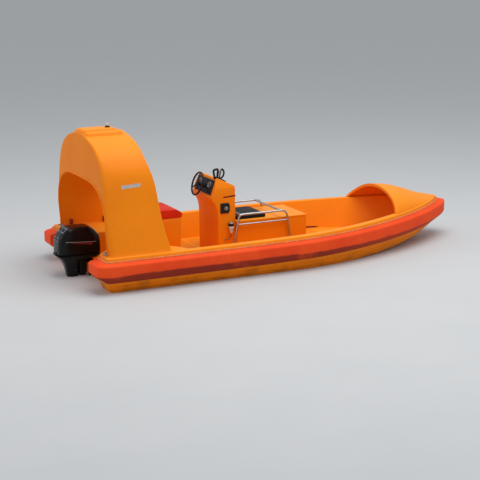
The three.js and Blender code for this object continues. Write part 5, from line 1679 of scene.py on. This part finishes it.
# %% [markdown]
# ## The outboard's cowl
# Seen from above, each level of the cowl is a superellipse |x/a|^n + |y/b|^n = 1, a box with soft
# corners. A short table gives its aft end, forward end and half width at some heights, and the
# corners of that table are rounded like any outline, which gives the flat top, the two slopes and
# the nearly upright sides. Solidify makes it a hollow shell over the engine. Under it, a rubber
# gasket lies in the joint to the pan, a shallow bowl that is made from levels in the same way.

# %% The outboard's cowl
COWL_ROWS = [
    (-3212, -2612, 183, 325), (-3221, -2602, 190, 350), (-3212, -2604, 189, 480),
    (-3200, -2616, 183, 572), (-3120, -2700, 160, 668), (-3068, -2760, 132, 700),
    (-3040, -2790, 96, 703),
]  # aft end, forward end, half width, height
GASKET_ROWS = [(-3207, -2611, 181, 321), (-3210, -2608, 184, 324), (-3207, -2611, 181, 327)]
PAN_ROWS = [
    (-3128, -2860, 128, 236), (-3172, -2640, 164, 264), (-3212, -2612, 184, 290),
    (-3232, -2602, 196, 314), (-3229, -2605, 194, 322),
]
COWL_POWER, COWL_CUT, COWL_SHELL = 5, 40, 7


def level_loops(rows, cut=WHOLE_EDGE, power=COWL_POWER, steps=6, count=96):
    """x = centre + a sign(c) |c|^(2/n), y = b sign(s) |s|^(2/n), with c and s of the turn."""
    smooth = bent(np.array(rows, float), cut, steps)
    turn = np.linspace(0, 2 * np.pi, count, endpoint=False) + np.pi / count
    c, s = np.cos(turn), np.sin(turn)
    along, across = np.sign(c) * np.abs(c) ** (2 / power), np.sign(s) * np.abs(s) ** (2 / power)
    centre, semi = (smooth[:, 0] + smooth[:, 1]) / 2, (smooth[:, 1] - smooth[:, 0]) / 2
    x = centre[:, None] + semi[:, None] * along
    y = smooth[:, 2, None] * across
    return np.stack([x, y, np.broadcast_to(smooth[:, 3, None], x.shape)], axis=-1)


cowl_points, cowl_faces = skin(level_loops(COWL_ROWS, COWL_CUT), first_cap=False)
cowl = add_motor_part("cowl_shell", (cowl_points, cowl_faces), cowl_paint, stands_for="motor_cowl",
                      sharp=60)
wall = cowl.modifiers.new("shell thickness", "SOLIDIFY")
wall.thickness = COWL_SHELL * MM
wall.offset = -1
add_motor_part("cowl_gasket", skin(level_loops(GASKET_ROWS)), black_rubber)
pan = skin(level_loops(PAN_ROWS, 16))
add_motor_part("lower_cowl_pan", pan, cowl_paint, stands_for="motor_lower_cowl", sharp=60)
print("cowl points:", len(cowl_points))

# %% [markdown]
# ## Marks on the cowl
# The cowl carries no lettering, only two plain stripes on each side, a latch and, high on its aft
# end, a pair of air louvres: a grey frame with a dark slot in it. Two short ribs lie under them on
# each side, in the same pale grey, which paints in the highlights along them on the black cowl. A
# stripe has to lie on the bulging side, so its points ask the superellipse how wide the cowl is at
# their own place, y = b (1 - |x/a|^n)^(1/n). For the aft end, x and y change places.

# %% Marks on the cowl
GREY_STRIPE = [(-3125, 520), (-2690, 492), (-2690, 497), (-3125, 525)]  # x, z
RED_STRIPE = [(-3040, 500), (-2748, 458), (-2730, 486), (-3040, 508)]
STRIPE_OUT, STRIPE_DEEP = 0.9, 2
LOUVRE_FRAME, LOUVRE_SLOT = (24, 118, 638, 692), (34, 106, 651, 684)  # y and z of two corners
HIGHLIGHT_RIBS = [(20, 92, 516, 525), (20, 92, 562, 571)]
SLOPE_OUT = np.array([-0.52, 0, 0.85])  # square to the aft slope


def cowl_at(z):
    """Centre, half length and half width of the cowl at each height, from its rounded table."""
    table = bent(np.array(COWL_ROWS, float), COWL_CUT, 6)
    aft, fore, half = (np.interp(z, table[:, 3], table[:, k]) for k in range(3))
    return (aft + fore) / 2, (fore - aft) / 2, half


def patch(face, out, deep):
    """A grid of points on a surface becomes a thin plate, from so far off it to so far inside."""
    loops = np.concatenate([face + out, (face - deep)[::-1]], axis=0)
    return skin(loops.transpose(1, 0, 2))


def stripe(corners, columns=24, rows=5):
    """A plate on the port side, between two edges given by four corners (x, z)."""
    low_aft, low_fore, high_fore, high_aft = np.array(corners, float)
    s, t = np.meshgrid(np.linspace(0, 1, columns), np.linspace(0, 1, rows))
    low = low_aft + (low_fore - low_aft) * s[..., None]
    high = high_aft + (high_fore - high_aft) * s[..., None]
    x, z = np.moveaxis(low + (high - low) * t[..., None], -1, 0)
    centre, length, half = cowl_at(z)
    part = np.clip(np.abs((x - centre) / length), 0, 0.999)
    y = half * (1 - part**COWL_POWER) ** (1 / COWL_POWER)
    return patch(np.stack([x, y, z], -1), ACROSS * STRIPE_OUT, ACROSS * STRIPE_DEEP)


def aft_patch(corners, out, columns=12, rows=4):
    """Plates on both sides of the aft slope: x = centre - a (1 - |y/b|^n)^(1/n) at each height."""
    near, far, low, high = corners
    y, z = np.meshgrid(np.linspace(near, far, columns), np.linspace(low, high, rows))
    centre, length, half = cowl_at(z)
    x = centre - length * (1 - (y / half) ** COWL_POWER) ** (1 / COWL_POWER)
    return both_sides(patch(np.stack([x, y, z], -1), SLOPE_OUT * out, SLOPE_OUT * 3))


for mark_name, corners, paint in (("grey", GREY_STRIPE, stripe_grey), ("red", RED_STRIPE, stripe_red)):
    add_motor_part(f"cowl_{mark_name}_stripe", both_sides(stripe(corners)), paint)
latch = block((-3229, -34, 330), (-3206, 34, 360), 8, "x", 4)
add_motor_part("cowl_latch", latch, black_plastic)
# the ribs share the pale grey paint of the frames, a painted highlight along them
frames_and_highlight_ribs = [aft_patch(LOUVRE_FRAME, 2), *[aft_patch(rib, 3) for rib in HIGHLIGHT_RIBS]]
add_motor_part("cowl_louvre_frames_and_highlight_ribs", together(*frames_and_highlight_ribs), louvre_grey)
add_motor_part("cowl_louvre_slots", aft_patch(LOUVRE_SLOT, 3), black_rubber)
print("stripes, latch, louvres and", 2 * len(HIGHLIGHT_RIBS), "ribs made")

# %% [markdown]
# ## The outboard's leg
# Below the cowl the leg narrows to the gearcase, a torpedo with a fin above it that keeps air away
# from the propeller, and a skeg below. Leg, strut and skeg are level loops again, and the torpedo
# is a turned shape with a pointed nose.

# %% The outboard's leg
STEER_X, TILT_X, TILT_Z, PROP_Z = -2870, -2725, 205, -565
LEG_ROWS = [
    (-3060, -2926, 50, -354), (-3062, -2922, 57, -200), (-3068, -2918, 70, -40),
    (-3085, -2915, 88, 90), (-3120, -2912, 128, 190), (-3165, -2908, 158, 256),
    (-3186, -2904, 170, 278),
]
STRUT_ROWS = [
    (-3048, -2940, 33, -545), (-3056, -2936, 33, -430), (-3062, -2926, 46, -378), (-3062, -2924, 50, -352),
]
SKEG_ROWS = [
    (-3090, -3010, 2, -734), (-3078, -2975, 5, -690), (-3062, -2938, 7, -604), (-3056, -2930, 9, -560),
]
ANODE_ROWS = [(-3222, -3150, 7, -420), (-3225, -3140, 9, -398), (-3210, -3130, 12, -386)]
FIN_HALF = np.array([(-3235, 80, 16), (-3110, 90, 60), (-2960, 62, 60), (-2902, 20, 20)])  # x, y, cut
TORPEDO_PROFILE = [
    (0, 0), (14, 8), (28, 30), (41, 78), (48, 130), (50, 180), (50, 252), (47, 290), (0, 290),
]
LEG_BOLT = [(0, 0), (9, 0), (9, 4), (6, 7), (0, 8)]
LEG_BOLT_PLACES = [
    (-2965, 84, 96), (-2960, 66, -30), (-3030, 66, -30), (-2990, 54, -210), (-3030, 52, -330),
]
TELLTALE_PATH = [(-3120, -150, 250), (-3122, -168, 244), (-3124, -176, 232)]

arm_high = block((-2945, -38, 266), (-2834, 38, 284), 30, "z", 3)
arm_low = block((-2945, -34, -62), (-2838, 34, -37), 26, "z", 3)
shaft = tube([(STEER_X, 0, -60), (STEER_X, 0, 282)], 16, 24)
leg_shell = together(skin(level_loops(LEG_ROWS, 60, 3.6)), arm_high, arm_low, shaft)
add_motor_part("leg_housing", leg_shell, leg_paint, stands_for="motor_midsection", sharp=50)

strut = skin(level_loops(STRUT_ROWS, 30, 2.4))
fin_table = np.concatenate([FIN_HALF * MIRROR, FIN_HALF[::-1]])
fin = soft_slab(rounded_table(fin_table), "z", -387, -375, 4)
torpedo_profile = bent(TORPEDO_PROFILE, [6, 12, 30, 30, 30, 40, 16], 5)
torpedo = turned(torpedo_profile, (-2840, 0, PROP_Z), (-1, 0, 0), 40)
skeg = skin(level_loops(SKEG_ROWS, 20, 2.2, 4, 40))
add_motor_part("gearcase_shell", together(strut, fin, torpedo, skeg), leg_paint,
               stands_for="motor_gearcase", sharp=50)
anode = skin(level_loops(ANODE_ROWS, 6, 2.4, 4, 32))
add_piece("trim_tab_anode", anode, cast_alloy, "filter_metal", "outboard")
leg_bolts = together(*[turned(LEG_BOLT, place, (0, 1, 0), 14) for place in LEG_BOLT_PLACES])
add_piece("leg_bolts", both_sides(leg_bolts), cast_alloy, "filter_metal", "outboard")
add_motor_part("telltale_nozzle", tube(bent(TELLTALE_PATH, 8, 5), 5, 12), black_rubber)
print("leg, gearcase and", 2 * len(LEG_BOLT_PLACES), "bolts made")

# %% [markdown]
# ## Brackets
# Two clamp plates grip the transom and carry the tilt tube. The swivel bracket between them is
# the imported one, whose bores are exact. It only needs its paint, as do the powerhead and the
# liner of the well.

# %% Brackets
JAW_X, CLAMP_Y, CLAMP_HALF = TRANSOM_FRONT_X + 12.4, 105, 9
CLAMP_SIDE = [
    (-2782, -70, 12), (TRANSOM_X - 0.4, -70, 4), (TRANSOM_X - 0.4, 165.4, 0), (JAW_X, 165.4, 0),
    (JAW_X, 100, 4), (JAW_X + 22, 100, 6), (JAW_X + 22, 205, 20), (-2700, 228, 20), (-2750, 228, 20),
    (-2790, 180, 24),
]  # x, z, corner cut
NUT_PROFILE = [(0, 0), (22, 0), (22, 8), (18, 12), (0, 12)]
CLAMP_BOLT = [(0, 0), (11, 0), (11, 5), (8, 8), (0, 8)]

clamp_outline = rounded_table(CLAMP_SIDE, 4)
clamps = [
    soft_slab(clamp_outline, "y", way * CLAMP_Y - CLAMP_HALF, way * CLAMP_Y + CLAMP_HALF, 2)
    for way in (-1, 1)
]
tilt_tube = tube([(TILT_X, -124, TILT_Z), (TILT_X, 124, TILT_Z)], 15, 24)
nut = turned(NUT_PROFILE, (TILT_X, 113, TILT_Z), (0, 1, 0), 6)
bolts = [turned(CLAMP_BOLT, (-2766, 114, z), (0, 1, 0), 6) for z in (-30, 60)]
clamp_shell = together(*clamps, tilt_tube, both_sides(together(nut, *bolts)))
add_piece("clamp_plates", clamp_shell, leg_paint, "motor_paint", stands_for="motor_clamp_bracket")
PACKED_FINISHES = {
    "motor_well_liner": orange_gelcoat,
    "motor_swivel_bracket": leg_paint,
    "powerhead": cast_alloy,
}
for node_name, material in PACKED_FINISHES.items():
    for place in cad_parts[node_name].material_slots:
        place.material = material
print("brackets made, packed nodes painted:", len(PACKED_FINISHES))

# %% [markdown]
# ## The propeller
# Each blade is a thin lens section, thickest at its middle, t sqrt(1 - s^2), set on a helix:
# further out the pitch angle falls, so that every part of the blade screws forward at the same
# rate. A table gives radius, half width, pitch and half thickness, rounded into one smooth row.

# %% The propeller
PROP_AFT, PROP_FRONT, BLADES = -3262, -3131, 3
BLADE_ROWS = [
    (34, 44, 62, 6), (75, 68, 45, 5), (120, 74, 34, 3.5), (148, 56, 29, 2.5), (160, 32, 27, 1.8),
    (164.5, 10, 26, 1.2),
]  # radius, half width, pitch in degrees, half thickness
PROP_HUB_PROFILE = [(0, 0), (44, 0), (46, 30), (44, 90), (38, 127), (22, 131), (0, 131)]


def blade(turn_degrees):
    """A section point at c along and o off the chord lies at c cos(pitch) - o sin(pitch) round the
    hub, which is that much over the radius as an angle, and at 0.8 c sin(pitch) + o cos(pitch)
    along the shaft."""
    rows = bent(np.array(BLADE_ROWS, float), WHOLE_EDGE, 5)
    s = np.linspace(-1, 1, 15)
    bulge = np.sqrt(np.maximum(1 - s**2, 0)) * 0.9
    chord = np.concatenate([s, s[-2:0:-1]])
    off = np.concatenate([bulge, -bulge[-2:0:-1]])
    radius, half, pitch, thick = rows.T[..., None]
    pitch = np.radians(pitch)
    along, out = chord * half, off * thick
    x = (PROP_AFT + PROP_FRONT) / 2 + along * np.sin(pitch) * 0.8 + out * np.cos(pitch)
    around = along * np.cos(pitch) - out * np.sin(pitch)
    angle = np.radians(turn_degrees) + around / radius
    return skin(np.stack([x, -radius * np.sin(angle), PROP_Z + radius * np.cos(angle)], axis=-1))


prop_hub = turned(bent(PROP_HUB_PROFILE, [4, 10, 20, 10, 6], 5), (PROP_FRONT, 0, PROP_Z), (-1, 0, 0), 40)
blades = [blade(360 * k / BLADES) for k in range(BLADES)]
add_piece("propeller_wheel", together(prop_hub, *blades), worn_alloy, "motor_paint", "propeller",
          "propeller", sharp=50)
print("blades:", BLADES)

# %% [markdown]
# ## Floor and light
# The boat floats with its waterline at the floor's level, so the pale floor hides what lies
# below it. The light is a wide soft panel overhead, a weaker one astern and an even pale
# surround, like a bright overcast day: tops are brightest, sides are softer and the inside of the
# arch is in shade.

# %% Floor and light
FLOOR_REACH = 400.0


def pale_floor_finish():
    """A matt studio floor, so even that only its slow drift in tone shows that it is a surface."""
    material, tree, shader, where = finish("pale floor", Roughness=0.85)
    drift = node(tree, "ShaderNodeTexNoise", patches(where, 900, 2))
    colour = blended(tree, linear("#BFC1C1"), linear("#C5C6C6"), drift, 0, 1)
    tree.links.new(colour, shader.inputs["Base Color"])
    return material


floor_mesh = bpy.data.meshes.new("floor")
floor_outline = rectangle(-FLOOR_REACH, -FLOOR_REACH, FLOOR_REACH, FLOOR_REACH)
floor_mesh.from_pydata(lifted(floor_outline, "z", 0).tolist(), [], [(0, 1, 2, 3)])
floor_mesh.materials.append(pale_floor_finish())
stage_floor = bpy.data.objects.new("floor", floor_mesh)
bpy.context.collection.objects.link(stage_floor)

world = bpy.data.worlds.new("pale surround")
world.use_nodes = True
world.node_tree.nodes["Background"].inputs["Color"].default_value = linear("#E6E9EE")
world.node_tree.nodes["Background"].inputs["Strength"].default_value = 0.72
bpy.context.scene.world = world


def soft_panel(name, place, aim, size, power):
    """An area light of that size in metres, turned so that its -Z looks from its place to its aim."""
    lamp_object = bpy.data.objects.new(name, bpy.data.lights.new(name, "AREA"))
    bpy.context.collection.objects.link(lamp_object)
    lamp_object.data.shape = "DISK"
    lamp_object.data.size = size
    lamp_object.data.energy = power
    back = unit(np.array(place, float) - np.array(aim, float))
    right = unit(np.cross([0, 1, 0.01], back))
    turn = np.eye(4)
    turn[:3, :3] = np.column_stack([right, np.cross(back, right), back])
    turn[:3, 3] = place
    lamp_object.matrix_world = Matrix(turn.tolist())


soft_panel("overhead panel", (1.0, -3.0, 12.0), (0, 0, 0.5), 12.0, 1150)
soft_panel("stern panel", (-12.0, 2.0, 4.5), (-2.5, 0, 1.0), 8.0, 200)
bpy.context.scene.view_settings.view_transform = "Standard"
print("floor, surround and two soft panels made")
